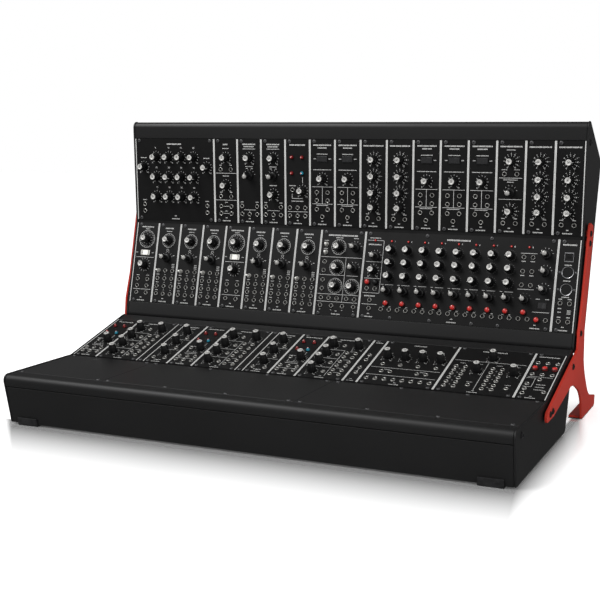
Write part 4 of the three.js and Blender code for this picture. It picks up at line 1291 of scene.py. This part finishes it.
def square_socket(panel, x, y):
    """A square data socket: a shell of sheet metal around a tongue with four contacts."""
    wide, high, sheet = 6.25, 5.75, 0.5
    panel.long_holes.append((x, y, wide - 0.1, high - 0.1))
    inner_wide, inner_high = wide - sheet, high - sheet
    shell = [
        brick(-wide, wide, inner_high, high, -12, 1), brick(-wide, wide, -high, -inner_high, -12, 1),
        brick(-wide, -inner_wide, -inner_high, inner_high, -12, 1),
        brick(inner_wide, wide, -inner_high, inner_high, -12, 1),
        brick(-wide, wide, high, high + 0.7, -0.05, 0.5, 0.1),
        brick(-wide, wide, -high - 0.7, -high, -0.05, 0.5, 0.1),
    ]
    back = brick(-inner_wide, inner_wide, -inner_high, inner_high, -12, -9)
    tongue = brick(-2.8, 2.8, -1.6, 1.6, -9, 0.2, 0.3)
    pins = [brick(px - 0.3, px + 0.3, py - 0.15, py + 0.15, -8.8, -0.4)
            for px in (-1.4, 1.4) for py in (-1.7, 1.7)]
    panel.put({"shells": gathered(shell + pins), "inserts": gathered([back, tongue])}, x, y)


def round_socket(panel, x, y):
    """A round five pin socket: metal rim, deep black cup, five contact holes and a key."""
    panel.round_holes.append((x, y, 8.3))
    rim = [(7.4, -9), (8.5, -9), (8.5, 0.6), (8.1, 1.0), (7.8, 1.0), (7.4, 0.7)]
    cup = [(0, -9), (7.45, -9), (7.45, -1.2), (0, -1.2)]
    tube = [(0.45, -1.3), (0.85, -1.3), (0.85, -0.6), (0.45, -0.6)]
    contacts = [
        moved(turned(tube, 10, ring=True), -4.6 * math.cos(angle), 4.6 * math.sin(angle))
        for angle in np.radians([0, 45, 90, 135, 180])]
    key = brick(-1.1, 1.1, -7.4, -5.9, -8, 0.4)
    lug = turned([(0, -0.1), (1.7, -0.1), (1.7, 0.5), (1.2, 0.9), (0, 1.0)], 12)
    panel.put({
        "shells": gathered([turned(rim, 32, ring=True)] + contacts),
        "screws": gathered([moved(lug, place, 0) for place in (-11.1, 11.1)]),
        "inserts": gathered([turned(cup, 32), key]),
    }, x, y)


def mixer_panel(panel, loose=None):
    """Four level knobs, each with one jack at its right, and a knob over two columns of six."""
    left, right = panel.across(0.259, 0.8)
    panel.knobs([left], [0.781, 0.57, 0.363, 0.151])
    panel.knobs([right], [0.781], loose)
    panel.jack_grid([35.0], 101.0, 73.5, 47.0, 20.0)
    panel.jack_grid((47.0, 60.0), 80, 67, 53, 41, 27, 15)
    panel.label(18.5, 114.8, 14)
    panel.rules(4, 40.5, 88, 61, 34)
    panel.line((40.8, 88), (40.8, 9))
    panel.labels([53.5], (86, 60, 34, 21), 8, 1.0)
    panel.captions(36, (120.5, 30, 2.0))


def attenuator_panel(panel):
    """Three knobs, each over a pair of jacks."""
    middle = panel.middle
    panel.knobs([middle], [0.781, 0.514, 0.246])
    panel.jack_grid((10.5, 29.3), 83, 49, 15)
    panel.rules(4, 36.6, 77.4, 43.4)
    panel.labels([middle], (114.9, 9), 12)
    panel.captions(middle, (120.5, 20, 2.0))


def blank_panel(panel):
    """A bare strip of panel between two modules."""


def multiple_panel(panel):
    """A column of four jacks joined in pairs."""
    middle = panel.middle
    panel.jack_grid([middle], 80, 65, 41, 26)
    for high, low in ((80, 65), (41, 26)):
        panel.line((middle, high - 4), (middle, low + 4))
    panel.captions(middle, (120.5, 11, 2.0), foot=10)


def four_knob_panel(panel):
    """Four knobs in a row over boxes of jacks."""
    xs = panel.across(0.159, 0.398, 0.637, 0.875)
    outputs = [9.3 + 12.65 * step for step in range(8)]
    panel.knobs(xs, [0.619])
    panel.labels(xs, [92], 7, 1.1)
    panel.jack_grid(xs, 58.0)
    panel.rules(4, 102, 48.5, 26.8)
    panel.jack_grid((22.5, 35.0, 73.3, 86.0), 37.0)
    panel.jack_grid(outputs, 14.0)
    panel.labels(outputs, [20], 3, 1.0)
    panel.labels((28.7, 79.6), [43.4], 8, 1.1)
    panel.captions(52, (120.5, 19, 1.9))


def dual_jack_panel(panel):
    """Two fields of jacks under a row of captions, each with a knob over a jack at its right.

    One more knob stands above them in the middle.
    """
    panel.knobs(panel.across(0.508), [0.781])
    panel.knobs(panel.across(0.394, 0.862), [0.482])
    panel.jack_grid((11.0, 24.0, 61.6, 74.5), 71, 60, 48.7, 37.3, 25.2, 13.8)
    panel.jacks((41.3, 20.8), (92.2, 20.5))
    panel.rules(4, 102, 90)
    panel.line((51.6, 88), (51.6, 10))
    panel.labels((17.5, 68, 41.3, 92.2), [82], 8, 1.1)
    panel.labels((41.3, 92.2), [30], 8, 1.1)
    panel.labels((17.5, 68), (65.5, 54.3, 43, 31.2, 19.5), 2, 1.0)
    panel.captions(52, (120.5, 34, 2.2))


def triggers_panel(panel, loose=None):
    """Three red buttons, six jacks around them, and a bracket of five more."""
    for index, x in enumerate(panel.across(0.209, 0.527, 0.851)):
        here = loose if index == 1 else None
        panel.add("red_button", x, 0.64 * PANEL_HEIGHT, 0.0, here)
        panel.number(str(index + 1), x - 0.8, 91, 2.2)
    panel.jack_grid((8.5, 21.4, 34.6), 100, 67)
    panel.rules(4, 36.6, 61)
    panel.jacks((21.4, 52.5), (8, 40), (8, 26), (8, 13.5), (34, 20))
    panel.line((3, 57.4), (15, 57.4), (15, 33), (4, 33))
    panel.labels([26], (40, 33, 26), 12)
    panel.captions(20.3, (119, 28, 2.0))


# Row of each module, and the first and last unit, layout and arguments of its panels
MODULES = {
    "filter_bank": (1, (0, 28, filter_bank_panel)),
    "noise_filter_module": (1, (28, 36, noise_filter_panel)),
    "high_pass_module": (1, (36, 44, selector_filter_panel, False, "high_pass_selector")),
    "low_pass_module": (1, (44, 52, selector_filter_panel, True)),
    "control_voltage_module": (1, (52, 60, control_voltage_panel, "control_voltage_knob")),
    "amplifier_pair": (
        1, (60, 68, amplifier_panel, "amplifier_rocker"), (68, 76, amplifier_panel)),
    "envelope_pair_left": (1, (76, 84, envelope_panel, "envelope_knob"), (84, 92, envelope_panel)),
    "amplifier_trio": (
        1, (92, 100, amplifier_panel), (100, 108, amplifier_panel), (108, 116, amplifier_panel)),
    "trigger_delay_module": (1, (116, 124, trigger_delay_panel)),
    "envelope_pair_right": (1, (124, 132, envelope_panel), (132, 140, envelope_panel)),
    "oscillator_bank_left": (
        2, (0, 8, driver_panel, "oscillator_driver_knob", "oscillator_driver_rocker"),
        (8, 16, oscillator_panel), (16, 24, oscillator_panel), (24, 32, oscillator_panel)),
    "oscillator_bank_right": (
        2, (32, 40, driver_panel), (40, 48, oscillator_panel, "oscillator_selector",
                                    "oscillator_toggle"),
        (48, 56, oscillator_panel), (56, 64, oscillator_panel)),
    "large_oscillator_module": (2, (64, 78, large_oscillator_panel)),
    "sequencer_module": (2, (78, 134, sequencer_panel)),
    "interface_module": (2, (134, 140, interface_panel)),
    "voltage_mixer_left": (
        3, (0, 8, control_voltage_panel), (8, 22, mixer_panel, "mixer_knob"),
        (22, 24, blank_panel), (24, 32, attenuator_panel)),
    "voltage_mixer_middle": (
        3, (32, 40, control_voltage_panel), (40, 54, mixer_panel), (54, 56, blank_panel),
        (56, 64, attenuator_panel)),
    "voltage_mixer_right": (
        3, (64, 72, control_voltage_panel), (72, 86, mixer_panel), (86, 90, multiple_panel)),
    "four_knob_module": (3, (90, 111, four_knob_panel)),
    "dual_mixer_module": (3, (111, 132, dual_jack_panel)),
    "trigger_interface_module": (3, (132, 140, triggers_panel, "trigger_button")),
}

# Places of the panel screws, from the side edge and up from the lower edge, and the width over
# which a panel has screws at both sides, in millimetres
SCREW_SIDE = 7.3
SCREW_ROWS = (3.2, 125.4)
WIDE_PANEL = 43.8

BUILT = []


def modules():
    """All the modules with what sits on them, laid out the first time that they are needed."""
    if BUILT:
        return BUILT
    for name, (row, *panels) in MODULES.items():
        module = Module(name, row)
        for first, last, layout, *rest in panels:
            panel = Panel(module, first, last)
            layout(panel, *rest)
            add_screws(panel)
            panel.close(layout is not blank_panel)
        BUILT.append(module)
    return BUILT


def add_screws(panel):
    """Screws above and below a panel: at its left, and at its right too where it is wide.

    A very narrow panel has them in its middle.
    """
    xs = [min(SCREW_SIDE, panel.middle)]
    if panel.width > WIDE_PANEL:
        xs.append(panel.width - SCREW_SIDE)
    for x in xs:
        for y in SCREW_ROWS:
            panel.put(control("screw"), x, y, (x * 17 + y * 5) % 90)


REPLACED = set()


def add_kinds(kinds, smooth=SMOOTH):
    """Makes one piece of each kind on each module, and of the loose controls' own parts.

    The first piece of a loose control replaces its node.
    """
    for module in modules():
        for kind in kinds:
            material, slot = KINDS[kind]
            for node, store in ((module.name, module.kinds), *module.loose.items()):
                if kind not in store:
                    continue
                piece = new_piece(f"{node}_{kind}", module.plane, store[kind], material, slot,
                                  frame["nodes"][node]["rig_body"], smooth)
                if node in module.loose and node not in REPLACED:
                    REPLACED.add(node)
                    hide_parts(node)


# Casework from the frame

# Edges of the deck's panels in units, and their screws from the edges, in millimetres
DECK_UNITS = (0, 28, 84, 140)
DECK_SCREW_X, DECK_SCREW_Y = 8.0, 3.0


def deck_pieces():
    """The three panels of the deck, softened, with their screws and a black strip in each seam, painted
    shade of the gap.
    """
    edges = [UNIT * unit - ROW_HALF for unit in DECK_UNITS]
    for side in ("left", "middle", "right"):
        node = f"deck_panel_{side}"
        softened(node, f"{node}_plate", "deck", 0.35)
    screws = {"screws": [], "screw_slots": []}
    for (left, right), count in zip(zip(edges, edges[1:]), (2, 4, 4)):
        for x in np.linspace(left + DECK_SCREW_X, right - DECK_SCREW_X, count):
            for y in (DECK_SCREW_Y, PANEL_HEIGHT - DECK_SCREW_Y):
                for kind, shape in control("screw").items():
                    screws[kind].append(moved(shape, x, y, (x * 11 + y) % 90))
    for kind, shapes in screws.items():
        new_piece(f"deck_{kind}", PLANES[4], shapes, *KINDS[kind])
    # Black strips sunk in the seams between the deck panels: painted shade of the gaps
    seams = [brick(x - 0.5, x + 0.5, 0.6, PANEL_HEIGHT - 0.6, -1.2, -0.02) for x in edges[1:-1]]
    new_piece("deck_seams", PLANES[4], seams, "bore", "rubber")


# Places of side screws on the planes of the rows: along and out of the plane, in millimetres
CHEEK_SCREWS = {4: (1.9, -10.5), 1: (125.5, -14.0)}
STAND_SCREWS = {3: ((125.5, -14.0), (2.7, -15.4), (-10.6, -12.8)),
                1: ((2.7, -15.4), (-10.6, -12.8)), 2: ((1.9, -10.5),)}
HEAD_RISE = 2.0


def side_screw(face, side, along, out):
    """A button head with a round recess, standing out of a side face at x = side * face.

    The head's own (x, y, z) becomes (z, x, y) on the right, and (-z, x, -y) on the left.
    """
    radius, recess, floor = 4.2, 2.0, HEAD_RISE * 0.3
    head = [(0, -0.4), (radius, -0.4), (radius, HEAD_RISE * 0.45), (radius * 0.8, HEAD_RISE * 0.85),
            (recess + 0.3, HEAD_RISE), (recess, HEAD_RISE), (recess, floor), (0, floor)]
    points, faces = turned(head, 18)
    x, y, z = points.T
    return np.column_stack([side * (face + z), along + x, out + side * y]), faces


def case_pieces():
    """Trays and cheeks of the two tiers, softened, with the cheeks' own screws."""
    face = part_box("lower_right_cheek")[1][0] / MM
    for tier, row in (("lower", 4), ("upper", 1)):
        heads = [side_screw(face, side, *CHEEK_SCREWS[row]) for side in (-1, 1)]
        new_piece(f"{tier}_cheek_screws", PLANES[row], heads, "head", "silver_knob")
    for tier in ("lower", "upper"):
        softened(f"{tier}_case_tray", f"{tier}_tray_shell", "case", 0.5)
        for side in ("left", "right"):
            name = f"{tier}_{side}_cheek"
            softened(name, f"{name}_plate", "case", 0.7)


# Middle and half width of the power inlets in x in metres, and the largest of their faces
INLET_X, INLET_HALF, INLET_FACE = -262 * MM, 7.2 * MM, 2.5e-4


def blacken_inlet(mesh):
    """Gives the small faces of the power inlet on a board black plastic."""
    mesh.materials.append(finish("black_button"))
    for face in mesh.polygons:
        if abs(face.center.x - INLET_X) < INLET_HALF and face.area < INLET_FACE:
            face.material_index = 1


def inner_pieces():
    """Rails, power boards and power rockers of both tiers, softened, and the strips between rows."""
    for tier in ("lower", "upper"):
        softened(f"{tier}_rail_frame", f"{tier}_rails", "rail", 0.2, 1)
        board = softened(f"{tier}_power_board", f"{tier}_board", "board", 0.1, 1)
        blacken_inlet(board.data)
        node = f"{tier}_power_rocker"
        softened(node, f"{node}_paddle", "dark_rocker", 0.4)
    joint_strip("lower_row_joint", 4, 3)
    joint_strip("upper_row_joint", 2, 1)


def support_pieces():
    """Stands, their pads and the feet, softened, with dark screws in place of the stands' heads."""
    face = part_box("right_stand")[1][0] / MM - HEAD_RISE
    for side, turn in (("left", -1), ("right", 1)):
        stand = softened(f"{side}_stand", f"{side}_stand_plate", "steel", 0.6)
        press_heads(stand.data, face)
        for row, places in STAND_SCREWS.items():
            heads = [side_screw(face, turn, *place) for place in places]
            new_piece(f"{side}_stand_screws_{row}", PLANES[row], heads, "head", "silver_knob")
        softened(f"{side}_stand_pad", f"{side}_pad_strip", "rubber", 0.2, 1)
        for end in ("front", "rear"):
            softened(f"{end}_{side}_foot", f"{end}_{side}_rubber_foot", "rubber", 0.5)


# How far over a stand's face its heads start to count, and how far under it they are moved
PROUD, SUNK = 0.1, 0.2


def press_heads(mesh, face):
    """Moves what stands out of a stand's outer face to just under that face."""
    points = np.empty(len(mesh.vertices) * 3)
    mesh.vertices.foreach_get("co", points)
    points = points.reshape(-1, 3)
    proud = np.abs(points[:, 0]) > (face + PROUD) * MM
    points[proud, 0] = np.sign(points[proud, 0]) * (face - SUNK) * MM
    mesh.vertices.foreach_set("co", points.ravel())
    mesh.update()


def joint_strip(name, low_row, high_row):
    """A black strip that closes the joint between two rows, across both of their planes.

    Its section is the quadrangle between the facing edges of the rows, sunk below their faces.
    """
    low, high = PLANES[low_row], PLANES[high_row]
    edge, top, under, half = 0.05, -0.7, -1.9, (ROW_HALF - 0.4) * MM
    section = [low.place([0, PANEL_HEIGHT + edge, top]), low.place([0, PANEL_HEIGHT + edge, under]),
               high.place([0, -edge, under]), high.place([0, -edge, top])]
    points = [(x, y, z) for x in (-half, half) for _, y, z in section]
    faces = [(3, 2, 1, 0), (4, 5, 6, 7), *band(0, 4, 4)]
    piece = placed_object(name, new_mesh(name, points, faces, finish("panel")))
    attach(piece, BODY)


# Settings that a user can change


def colour_setting(name, description, *colour):
    """A colour, as red, green and blue."""
    return bpy.props.FloatVectorProperty(
        name=name, description=description, subtype="COLOR", size=4, min=0, max=1,
        default=(*colour, 1))


def length_setting(name, description, default, low, high):
    """A length, given in millimetres."""
    return bpy.props.FloatProperty(
        name=name, description=description, default=default * MM, min=low * MM, max=high * MM,
        unit="LENGTH")


def power_setting(name, description, default):
    """The power of a lamp."""
    return bpy.props.FloatProperty(
        name=name, description=description, default=default, min=0, max=400, unit="POWER")


def strength_setting(name, description, default):
    """The strength of light from all around."""
    return bpy.props.FloatProperty(name=name, description=description, default=default, min=0, max=3)


class FinishSettings(bpy.types.PropertyGroup):
    """Colours of the finishes that the whole object shares."""

    case_colour: colour_setting("Case", "Powder coat of trays, cheeks and deck", 0.0075, 0.0075, 0.0077)
    panel_colour: colour_setting("Panels", "Powder coat of the module panels", 0.0038, 0.0038, 0.0039)
    steel_colour: colour_setting("Stand", "Powder coat of the side stands", 0.31, 0.02, 0.011)
    ink_colour: colour_setting("Print", "Ink of scales, lines and strips", 0.46, 0.46, 0.45)


class KnobSettings(bpy.types.PropertyGroup):
    """Sizes of the turning knobs."""

    radius: length_setting("Skirt radius", "Outer radius of the fluted skirt", 5.885, 4, 8)
    height: length_setting("Height", "From the panel to the top of the cap", 14, 11, 20)
    cap_radius: length_setting("Cap radius", "Radius of the metal cap", 4.35, 3, 6)
    flutes: bpy.props.IntProperty(
        name="Flutes", description="Grooves around the skirt", default=18, min=8, max=30)
    flute_depth: length_setting("Flute depth", "How far each groove is drawn in", 0.45, 0, 1)


class SelectorSettings(bpy.types.PropertyGroup):
    """Sizes of the stepped selectors."""

    radius: length_setting("Skirt radius", "Outer radius of the skirt", 6.37, 5, 8)
    height: length_setting("Height", "From the panel to the top of the dome", 20, 12, 24)
    cap_radius: length_setting("Dome radius", "Radius of the metal dome", 3.4, 3, 5)


class JackSettings(bpy.types.PropertyGroup):
    """Sizes of the mini jack sockets."""

    nut_radius: length_setting("Nut radius", "Outer radius of the nut", 3.2, 3, 5)
    bore_radius: length_setting("Bore radius", "Radius of the hole for the plug", 2.1, 1.5, 2.2)


class StageSettings(bpy.types.PropertyGroup):
    """Floor, lamps and world around the object."""

    floor_size: bpy.props.FloatProperty(
        name="Floor size", description="Side of the floor under the object",
        default=14.0, min=4, max=40, unit="LENGTH")
    key_power: power_setting("Key lamp", "Power of the large lamp above the front", 46.0)
    fill_power: power_setting("Fill lamp", "Power of the lamp at the side", 18.0)
    edge_power: power_setting("Edge lamp", "Power of the lamp that only glossy surfaces show", 30.0)
    world_light: strength_setting("World light", "Strength of the light from all around", 1.0)
    mirrored_light: strength_setting(
        "Mirrored light", "Strength of the surroundings in glossy surfaces", 0.12)


# Lines on the floor under the front and the right side of the object, in metres
FLOOR_FRONT = -0.229
FLOOR_RIGHT = 0.3586

# The floor's mirror: its share at those lines, its reach before the front in metres, what its
# reach beside the right side is as a share of that, and its roughness
MIRROR_SHARE = 0.8
MIRROR_REACH = 0.3
SIDE_FADE = 0.18
MIRROR_ROUGHNESS = 0.12

# Strength of the floor's own light, and of the floor as glossy surfaces show it
FLOOR_GLOW, FLOOR_DIM = 0.3, 0.12

# Under the object the mirror starts and is whole this far behind the lines, in metres, where
# the front line counts as lying further back by the lead
UNDER_LEAD, UNDER_START, UNDER_WHOLE = 0.02, -0.012, -0.008

# Slanted edges of the mirror image, in metres: slant of each edge, the y that it is measured
# from, and the x where the image starts and is whole
FLOOR_SIDES = ((0.24, 0.17, 0.362, 0.35), (0.825, FLOOR_FRONT, -0.362, -0.35))

WHITE = (1, 1, 1, 1)

# Place, size and setting of each lamp, in metres, and the point that they look at
LAMPS = {
    "Key": ((-1.2, -1.6, 2.2), 1.6, "key_power"),
    "Fill": ((1.9, -1.3, 1.1), 1.2, "fill_power"),
    "Edge": ((-1.1, -0.6, 2.3), 0.4, "edge_power"),
}
LAMP_TARGET = Vector((0.0, 0.0, 0.2))

# Camera that matches the photograph: place in metres, turn in degrees, lens in millimetres
CAMERA_PLACE = (0.65202, -1.45098, 0.40776)
CAMERA_TURN = (90 - 11.27, 0.0, 24.63)
CAMERA_LENS = 68.19
CAMERA_SENSOR = 36.0
CAMERA_SHIFT = (0.0, 0.0885)


def mirror_share(white):
    """Share of the mirror over the floor.

    It is MIRROR_SHARE times the square of a value that falls evenly from one at the lines to
    none at MIRROR_REACH from them. What counts is the larger of the distance before the front
    line and of the distance beyond the right line, divided by SIDE_FADE. The share is none past
    the slanted edges and well under the object.
    """
    parts = white.tree.nodes.new("ShaderNodeSeparateXYZ")
    white.link(white.where, parts.inputs["Vector"])
    x, y = parts.outputs["X"], parts.outputs["Y"]
    before = white.maths("SUBTRACT", FLOOR_FRONT, y)
    beside = white.maths("MULTIPLY_ADD", x, 1 / SIDE_FADE, -FLOOR_RIGHT / SIDE_FADE)
    share = white.ranged(white.maths("MAXIMUM", before, beside), MIRROR_REACH, 0.0)
    share = white.maths("POWER", share, 2.0)
    front = white.maths("ADD", before, UNDER_LEAD)
    right = white.maths("SUBTRACT", x, FLOOR_RIGHT)
    outside = white.ranged(white.maths("MAXIMUM", front, right), UNDER_START, UNDER_WHOLE)
    share = white.maths("MULTIPLY", share, outside)
    for slant, start, near, far in FLOOR_SIDES:
        lead = white.maths("MULTIPLY_ADD", y, slant, -slant * start)
        place = white.maths("ADD", x, lead)
        share = white.maths("MULTIPLY", share, white.ranged(place, near, far))
    return white.maths("MULTIPLY", share, MIRROR_SHARE)


def floor_surface():
    """A white floor that mirrors the object's front and looks dark in glossy surfaces."""
    white = Finish("Stage white", specular=0.1)
    white.colour(white.noise(400.0), linear(249, 249, 249), linear(253, 253, 253))
    white.roughness(white.noise(300.0), 0.4, 0.5)
    white.glow(WHITE, FLOOR_GLOW)
    share = mirror_share(white)
    mirror = white.node("ShaderNodeBsdfGlossy", Roughness=MIRROR_ROUGHNESS)
    shader = white.mixed(share, white.shader.outputs["BSDF"], mirror.outputs["BSDF"])
    seen = white.tree.nodes.new("ShaderNodeLightPath")
    dim = white.node("ShaderNodeEmission", Strength=FLOOR_DIM)
    shader = white.mixed(seen.outputs["Is Glossy Ray"], shader, dim.outputs["Emission"])
    white.link(shader, white.tree.nodes["Material Output"].inputs["Surface"])
    return white.material


def add_floor(size):
    """A square floor on the level that the object stands on."""
    half = size / 2
    corners = [(-half, -half, 0), (half, -half, 0), (half, half, 0), (-half, half, 0)]
    mesh = new_mesh("stage_floor", corners, [(0, 1, 2, 3)], floor_surface())
    placed_object("stage_floor", mesh)


def add_world(look):
    """A white world of one strength for light, another in glossy surfaces, and plain to the eye."""
    world = bpy.data.worlds.new("Studio")
    world.use_nodes = True
    bpy.context.scene.world = world
    tree = world.node_tree
    sky = tree.nodes["Background"]
    sky.inputs["Color"].default_value = WHITE
    sky.inputs["Strength"].default_value = look.world_light
    shader = sky.outputs["Background"]
    seen = tree.nodes.new("ShaderNodeLightPath")
    for ray, strength in (("Is Glossy Ray", look.mirrored_light), ("Is Camera Ray", 1.0)):
        plain = tree.nodes.new("ShaderNodeBackground")
        plain.inputs["Color"].default_value = WHITE
        plain.inputs["Strength"].default_value = strength
        mix = tree.nodes.new("ShaderNodeMixShader")
        inputs = (seen.outputs[ray], shader, plain.outputs["Background"])
        for output, socket in zip(inputs, mix.inputs):
            tree.links.new(output, socket)
        shader = mix.outputs["Shader"]
    tree.links.new(shader, tree.nodes["World Output"].inputs["Surface"])


def add_lamps(look):
    """Square area lamps turned towards the object. The last one only shows in glossy surfaces."""
    for name, (place, size, setting) in LAMPS.items():
        data = bpy.data.lights.new(name, "AREA")
        data.size = size
        data.energy = getattr(look, setting)
        lamp = placed_object(name, data)
        lamp.location = place
        lamp.rotation_euler = (LAMP_TARGET - Vector(place)).to_track_quat("-Z", "Y").to_euler()
    lamp.visible_diffuse = False


def add_camera():
    """The camera, set as the scene's own."""
    data = bpy.data.cameras.new("Photo camera")
    data.lens = CAMERA_LENS
    data.sensor_width = CAMERA_SENSOR
    data.shift_x, data.shift_y = CAMERA_SHIFT
    camera = placed_object("Photo camera", data)
    camera.location = CAMERA_PLACE
    camera.rotation_euler = [math.radians(turn) for turn in CAMERA_TURN]
    bpy.context.scene.camera = camera


def build_stage():
    """Floor, world, lamps and the camera at the photograph's angle."""
    look = bpy.context.scene.synth_stage
    add_floor(look.floor_size)
    add_world(look)
    bpy.context.scene.view_settings.view_transform = "Standard"
    add_lamps(look)
    add_camera()


# The add-on


def plate_pieces():
    """The plates of each module's panels, in place of the module's node."""
    for module in modules():
        piece = new_piece(f"{module.name}_plates", module.plane, module.plates, "panel",
                          "panel_black", BODY, FLAT_SHADED)
        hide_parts(module.name)


class SYNTH_OT_panels(bpy.types.Operator):
    """Plates of the module panels with their holes"""

    bl_idname = "synth.panels"
    bl_label = "Module panels"

    def execute(self, context):
        plate_pieces()
        return {"FINISHED"}


class SYNTH_OT_knobs(bpy.types.Operator):
    """Turning knobs: skirts, caps, pointer lines, and the marks on the caps, whose cross is painted
    reflection
    """

    bl_idname = "synth.knobs"
    bl_label = "Knobs"

    def execute(self, context):
        add_kinds(("knobs", "caps", "pointers", "cap_marks"))
        return {"FINISHED"}


class SYNTH_OT_selectors(bpy.types.Operator):
    """Stepped selectors: bodies, domes and pointer lines"""

    bl_idname = "synth.selectors"
    bl_label = "Selectors"

    def execute(self, context):
        add_kinds(("selectors", "domes", "selector_lines"))
        return {"FINISHED"}


class SYNTH_OT_jacks(bpy.types.Operator):
    """Mini jack sockets: nuts and sleeves"""

    bl_idname = "synth.jacks"
    bl_label = "Jack sockets"

    def execute(self, context):
        add_kinds(("nuts", "sockets"))
        return {"FINISHED"}


class SYNTH_OT_rockers(bpy.types.Operator):
    """Rocker switches: frames, paddles and ribs"""

    bl_idname = "synth.rockers"
    bl_label = "Rocker switches"

    def execute(self, context):
        add_kinds(("rocker_frames", "white_paddles", "dark_paddles", "ribs"), SWITCH_SMOOTH)
        return {"FINISHED"}


class SYNTH_OT_toggles(bpy.types.Operator):
    """Toggle switches: nuts and levers"""

    bl_idname = "synth.toggles"
    bl_label = "Toggle switches"

    def execute(self, context):
        add_kinds(("toggle_nuts", "toggle_levers"))
        return {"FINISHED"}


class SYNTH_OT_buttons(bpy.types.Operator):
    """Push buttons and their collars"""

    bl_idname = "synth.buttons"
    bl_label = "Buttons"

    def execute(self, context):
        add_kinds(("collars", "red_buttons", "black_buttons", "red_rims", "black_rims"))
        return {"FINISHED"}


class SYNTH_OT_lamps(bpy.types.Operator):
    """Domed lamps and their bezels"""

    bl_idname = "synth.lamps"
    bl_label = "Lamps"

    def execute(self, context):
        add_kinds(("bezels", "red_lamps", "lit_lamps", "blue_lamps", "glints"))
        return {"FINISHED"}


class SYNTH_OT_connectors(bpy.types.Operator):
    """Square and round multi pin sockets"""

    bl_idname = "synth.connectors"
    bl_label = "Connectors"

    def execute(self, context):
        add_kinds(("shells", "inserts"))
        return {"FINISHED"}


class SYNTH_OT_legends(bpy.types.Operator):
    """Scales, lines, caption bars, numbers and side strips"""

    bl_idname = "synth.legends"
    bl_label = "Print"

    def execute(self, context):
        add_kinds(("strips", "legends", "faint_legends"), FLAT_SHADED)
        return {"FINISHED"}


class SYNTH_OT_screws(bpy.types.Operator):
    """Screws of the module panels"""

    bl_idname = "synth.screws"
    bl_label = "Panel screws"

    def execute(self, context):
        add_kinds(("screws", "screw_slots"))
        return {"FINISHED"}


class SYNTH_OT_deck(bpy.types.Operator):
    """Deck panels before the rows, their screws and seams"""

    bl_idname = "synth.deck"
    bl_label = "Deck"

    def execute(self, context):
        deck_pieces()
        return {"FINISHED"}


class SYNTH_OT_cases(bpy.types.Operator):
    """Trays and cheeks of both tiers, and the cheeks' screws"""

    bl_idname = "synth.cases"
    bl_label = "Cases"

    def execute(self, context):
        case_pieces()
        return {"FINISHED"}


class SYNTH_OT_inside(bpy.types.Operator):
    """Rails, power boards, power rockers and the strips between rows"""

    bl_idname = "synth.inside"
    bl_label = "Inside"

    def execute(self, context):
        inner_pieces()
        return {"FINISHED"}


class SYNTH_OT_supports(bpy.types.Operator):
    """Side stands, their screws, pads and feet"""

    bl_idname = "synth.supports"
    bl_label = "Stands and feet"

    def execute(self, context):
        support_pieces()
        return {"FINISHED"}


class SYNTH_OT_stage(bpy.types.Operator):
    """Floor, light and camera"""

    bl_idname = "synth.stage"
    bl_label = "Stage"

    def execute(self, context):
        build_stage()
        return {"FINISHED"}


PIECE_OPERATORS = (
    SYNTH_OT_panels, SYNTH_OT_knobs, SYNTH_OT_selectors, SYNTH_OT_jacks, SYNTH_OT_rockers,
    SYNTH_OT_toggles, SYNTH_OT_buttons, SYNTH_OT_lamps, SYNTH_OT_connectors, SYNTH_OT_legends,
    SYNTH_OT_screws, SYNTH_OT_deck, SYNTH_OT_cases, SYNTH_OT_inside, SYNTH_OT_supports,
    SYNTH_OT_stage,
)


class SYNTH_PT_panel(bpy.types.Panel):
    """Sidebar panel with the settings and an entry for each group of pieces"""

    bl_idname = "SYNTH_PT_panel"
    bl_label = "Modular Synthesizer"
    bl_space_type = "VIEW_3D"
    bl_region_type = "UI"
    bl_category = "Synthesizer"

    def draw(self, context):
        column = self.layout.column()
        for name in SETTINGS:
            settings = getattr(context.scene, name)
            for key in settings.bl_rna.properties.keys():
                if key not in ("rna_type", "name"):
                    column.prop(settings, key)
        for operator in PIECE_OPERATORS:
            column.operator(operator.bl_idname)


SETTINGS = {
    "synth_finishes": FinishSettings,
    "synth_knob": KnobSettings,
    "synth_selector": SelectorSettings,
    "synth_jack": JackSettings,
    "synth_stage": StageSettings,
}
CLASSES = (*SETTINGS.values(), *PIECE_OPERATORS, SYNTH_PT_panel)


def register():
    """Registers the classes and hangs the settings on the scene."""
    for item in CLASSES:
        bpy.utils.register_class(item)
    for name, settings in SETTINGS.items():
        setattr(bpy.types.Scene, name, bpy.props.PointerProperty(type=settings))


def unregister():
    """Takes the settings and the classes away again."""
    for name in SETTINGS:
        delattr(bpy.types.Scene, name)
    for item in reversed(CLASSES):
        bpy.utils.unregister_class(item)


def main():
    """Builds every group of pieces and the stage."""
    register()
    for item in PIECE_OPERATORS:
        group, name = item.bl_idname.split(".")
        getattr(getattr(bpy.ops, group), name)()


if __name__ == "__main__":
    main()
